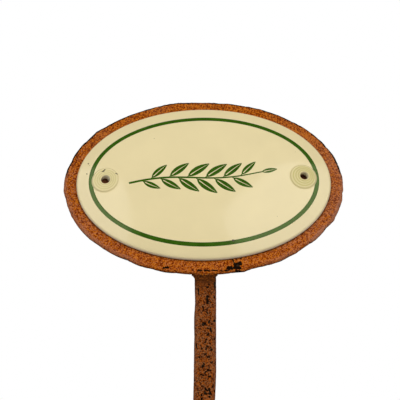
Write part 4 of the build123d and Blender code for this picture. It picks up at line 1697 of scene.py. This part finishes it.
# The photograph's side in pixels, and the camera's range in metres
IMAGE_SIDE = 400
CAMERA_NEAR = 0.01
CAMERA_FAR = 20

# The floor, in metres
FLOOR_GAP = 1.0 * MM
FLOOR_HALF = 3.0
FLOOR_CLOUD = 0.2

# Panels as (name, across, height, width, height of the panel), and the rear light, in metres
FRONT_PANELS = (
    ("left panel", -0.565, 0.42, 0.72, 0.88),
    ("right panel", 0.48, 0.42, 0.86, 0.92),
)
REAR_PLACE = (0.5, 1.1, 0.55)
REAR_SIZE = 0.8
REAR_AIM = (0, 0, 0.05)


def lay_floor(colours):
    """A plain pale floor just under the point's tip."""
    shape = bmesh.new()
    drop = Matrix.Translation((0, 0, BAR_LOW.z - FLOOR_GAP))
    bmesh.ops.create_grid(shape, x_segments=8, y_segments=8, size=FLOOR_HALF, matrix=drop)
    mesh = bpy.data.meshes.new("floor")
    shape.to_mesh(mesh)
    shape.free()
    floor = bpy.data.objects.new("floor", mesh)
    finish = plain_material("pale floor", colours.floor, low=0.6, high=0.75, size=FLOOR_CLOUD, deeper=0.97)
    mesh.materials.append(finish)
    bpy.context.scene.collection.objects.link(floor)


def light_room(studio):
    """A white backdrop, an even glow from all round on the part, and a dark room in its gloss."""
    world = bpy.data.worlds.new("studio")
    world.use_nodes = True
    tree = world.node_tree
    ray = node(tree, "ShaderNodeLightPath").outputs
    mirrored = span(tree, ray["Is Glossy Ray"], 0.0, 1.0, studio.room_glow, studio.room_mirrored)
    brighter = {0: mirrored, 1: ray["Is Camera Ray"]}
    glow = node(tree, "ShaderNodeMath", brighter, operation="MAXIMUM").outputs[0]
    tree.links.new(glow, tree.nodes["Background"].inputs["Strength"])
    tree.nodes["Background"].inputs["Color"].default_value = (1, 1, 1, 1)
    bpy.context.scene.world = world


def hang_lights(studio):
    """Two large oval panels in front, left and right, and one soft light behind."""
    for name, x, z, width, height in FRONT_PANELS:
        add_panel(name, (x, -studio.panel_front, z), (x, 0, z), width, height, studio.panel_glow)
    add_panel("rear", REAR_PLACE, REAR_AIM, REAR_SIZE, REAR_SIZE, studio.back_glow)


def add_panel(name, place, aim, width, height, glow):
    """One oval light at a place, which faces its aim and shines with an even glow."""
    light = bpy.data.lights.new(name, "AREA")
    light.shape = "ELLIPSE"
    light.size, light.size_y = width, height
    light.energy = glow * math.pi * (math.pi / 4 * width * height)
    made = bpy.data.objects.new(name, light)
    made.location = place
    made.rotation_euler = (Vector(aim) - Vector(place)).to_track_quat("-Z", "Y").to_euler()
    bpy.context.scene.collection.objects.link(made)


def place_camera(studio):
    """The camera below and in front of the head, with the head's centre at its own pixel."""
    head = Vector((0, SEAT, HEAD_HEIGHT))
    yaw, tilt, roll = studio.yaw, studio.tilt, studio.roll
    back = Vector((math.sin(yaw) * math.cos(tilt), -math.cos(yaw) * math.cos(tilt), -math.sin(tilt)))
    eye = head + back * studio.distance
    right = Vector((0, 0, 1)).cross(back).normalized()
    up = back.cross(right)
    c, s = math.cos(roll), math.sin(roll)
    right, up = c * right + s * up, c * up - s * right
    per_pixel = studio.distance / studio.lens_pixels
    across = (studio.head_pixel_x - IMAGE_SIDE / 2) * per_pixel
    down = (studio.head_pixel_y - IMAGE_SIDE / 2) * per_pixel
    aim = head - right * across + up * down
    back = (eye - aim).normalized()
    right = (right - back * right.dot(back)).normalized()
    up = back.cross(right)
    camera = bpy.data.objects.new("camera", bpy.data.cameras.new("camera"))
    camera.data.sensor_width = studio.sensor
    camera.data.lens = studio.sensor * studio.lens_pixels / IMAGE_SIDE
    camera.data.clip_start = CAMERA_NEAR
    camera.data.clip_end = CAMERA_FAR
    turned = Matrix((right, up, back)).transposed().to_4x4()
    camera.matrix_world = Matrix.Translation(eye) @ turned
    bpy.context.scene.collection.objects.link(camera)
    bpy.context.scene.camera = camera


# Operators


class LABELSTAKE_OT_cream_coat(bpy.types.Operator):
    """Builds the domed cream enamel with its raised pads and open screw holes."""

    bl_idname = "label_stake.cream_coat"
    bl_label = "Cream Coat"

    def execute(self, context):
        s = settings()
        seat(build_cream_coat(s.label, s.pads), cream_material(), "cream_enamel", "cream_enamel")
        return {"FINISHED"}


class LABELSTAKE_OT_specks(bpy.types.Operator):
    """Builds the small brown specks in the enamel."""

    bl_idname = "label_stake.specks"
    bl_label = "Specks"

    def execute(self, context):
        s = settings()
        finish = plain_material("brown speck", s.colours.speck, low=0.2, high=0.4, size=0.2 * MM)
        specks = build_specks(s.label, s.pads, s.prints)
        specks.data.materials.append(finish)
        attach(specks, BODY)
        return {"FINISHED"}


class LABELSTAKE_OT_border_line(bpy.types.Operator):
    """Builds the fired green line round the label."""

    bl_idname = "label_stake.border_line"
    bl_label = "Border Line"

    def execute(self, context):
        s = settings()
        points, faces = [], []
        across, up = line_places(s.label, s.pads, s.prints)
        raise_print(points, faces, across, up, s.label, s.pads, s.prints, closed=True)
        line = make_object("green_line", points, faces)
        seat(line, green_material(), "green_enamel", "border_line")
        return {"FINISHED"}


class LABELSTAKE_OT_leaf_sprig(bpy.types.Operator):
    """Builds the fired green sprig in the middle of the label."""

    bl_idname = "label_stake.leaf_sprig"
    bl_label = "Leaf Sprig"

    def execute(self, context):
        s = settings()
        points, faces = [], []
        for across, up in sprig_strips(s.prints):
            across, up = printed(across, up, s.prints)
            raise_print(points, faces, across, up, s.label, s.pads, s.prints, closed=False)
        sprig = make_object("green_sprig", points, faces)
        seat(sprig, green_material(), "green_enamel", "leaf_sprig")
        return {"FINISHED"}


class LABELSTAKE_OT_back_plate(bpy.types.Operator):
    """Builds the rusted oval back plate."""

    bl_idname = "label_stake.back_plate"
    bl_label = "Back Plate"

    def execute(self, context):
        s = settings()
        c = s.colours
        tints = [tuple(t) for t in (c.rust_dark, c.rust_middle, c.rust_bright, c.rust_pink, c.rust_dust_and_glint)]
        finish = rust_material("plate rust", *tints, grain_size=0.52 * MM)
        seat(build_plate(s.steel), finish, "rusted_plate", "back_plate")
        return {"FINISHED"}


class LABELSTAKE_OT_stake_bar(bpy.types.Operator):
    """Builds the rusted square bar with its pits and forged point."""

    bl_idname = "label_stake.stake_bar"
    bl_label = "Stake Bar"

    def execute(self, context):
        s = settings()
        c = s.colours
        tints = [tuple(t) for t in (c.bar_dark, c.bar_middle, c.bar_bright, c.bar_pink, c.bar_dust_and_glint)]
        finish = rust_material("bar rust", *tints, grain_size=0.58 * MM)
        seat(build_bar(s.steel), finish, "rusted_bar", "stake_bar")
        return {"FINISHED"}


class LABELSTAKE_OT_welds(bpy.types.Operator):
    """Builds the front weld and both side welds."""

    bl_idname = "label_stake.welds"
    bl_label = "Welds"

    def execute(self, context):
        s = settings()
        c = s.colours
        tints = [tuple(t) for t in (c.rust_dark, c.rust_middle, c.rust_bright, c.bar_pink, c.bar_dust_and_glint)]
        finish = rust_material("weld rust", *tints, grain_size=0.6 * MM)
        seat(build_front_weld(s.steel), finish, "rusted_weld", "weld_front")
        for name in ("weld_left", "weld_right"):
            seat(build_side_weld(name, s.steel), finish, "rusted_weld", name)
        return {"FINISHED"}


class LABELSTAKE_OT_inner_layers(bpy.types.Operator):
    """Builds the sheet steel and the dark coat under the cream, and finishes the adhesive."""

    bl_idname = "label_stake.inner_layers"
    bl_label = "Inner Layers"

    def execute(self, context):
        s = settings()
        steel = plain_material("sheet steel", s.colours.sheet, low=0.3, high=0.5, size=1.2 * MM, metallic=1.0)
        seat(build_steel_pressing(s.label, s.pads), steel, "sheet_steel", "sign_blank")
        dark = plain_material("dark enamel", s.colours.ground, low=0.12, high=0.3, size=1.5 * MM)
        seat(build_dark_coat(s.label, s.pads), dark, "ground_enamel", "ground_coat")
        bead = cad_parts["adhesive_bead"]
        if not bead.material_slots:
            raise RuntimeError("The adhesive bead has no material slot")
        cured = plain_material("cured adhesive", s.colours.adhesive, low=0.4, high=0.6, size=2.0 * MM)
        for place in bead.material_slots:
            place.material = cured
        return {"FINISHED"}


class LABELSTAKE_OT_studio(bpy.types.Operator):
    """Sets up the floor, the room, the soft lights and the camera."""

    bl_idname = "label_stake.studio"
    bl_label = "Studio"

    def execute(self, context):
        s = settings()
        lay_floor(s.colours)
        light_room(s.studio)
        hang_lights(s.studio)
        place_camera(s.studio)
        context.scene.view_settings.view_transform = "Standard"
        return {"FINISHED"}


OPERATORS = (
    LABELSTAKE_OT_back_plate,
    LABELSTAKE_OT_stake_bar,
    LABELSTAKE_OT_welds,
    LABELSTAKE_OT_inner_layers,
    LABELSTAKE_OT_cream_coat,
    LABELSTAKE_OT_specks,
    LABELSTAKE_OT_border_line,
    LABELSTAKE_OT_leaf_sprig,
    LABELSTAKE_OT_studio,
)


class LABELSTAKE_PT_sidebar(bpy.types.Panel):
    """Lists the operators and the settings."""

    bl_label = "Label Stake"
    bl_idname = "LABELSTAKE_PT_sidebar"
    bl_space_type = "VIEW_3D"
    bl_region_type = "UI"
    bl_category = "Label Stake"

    def draw(self, context):
        for operator in OPERATORS:
            self.layout.operator(operator.bl_idname)
        for group in ("label", "pads", "prints", "steel", "colours", "studio"):
            box = self.layout.box()
            box.label(text=group.title())
            owner = getattr(settings(), group)
            for name in owner.__annotations__:
                box.prop(owner, name)


GROUPS = (LabelSizes, PadSizes, PrintSizes, SteelSizes, Colours, StudioSizes, LabelStakeSettings)
CLASSES = (*GROUPS, *OPERATORS, LABELSTAKE_PT_sidebar)


def register():
    """Makes the classes and the settings known to Blender."""
    for each in CLASSES:
        bpy.utils.register_class(each)
    bpy.types.Scene.label_stake = PointerProperty(type=LabelStakeSettings)


def unregister():
    """Takes the settings and the classes out of Blender."""
    del bpy.types.Scene.label_stake
    for each in reversed(CLASSES):
        bpy.utils.unregister_class(each)


def main():
    """Builds every piece and the stage."""
    register()
    for operator in OPERATORS:
        group, name = operator.bl_idname.split(".")
        getattr(getattr(bpy.ops, group), name)()


if __name__ == "__main__":
    main()
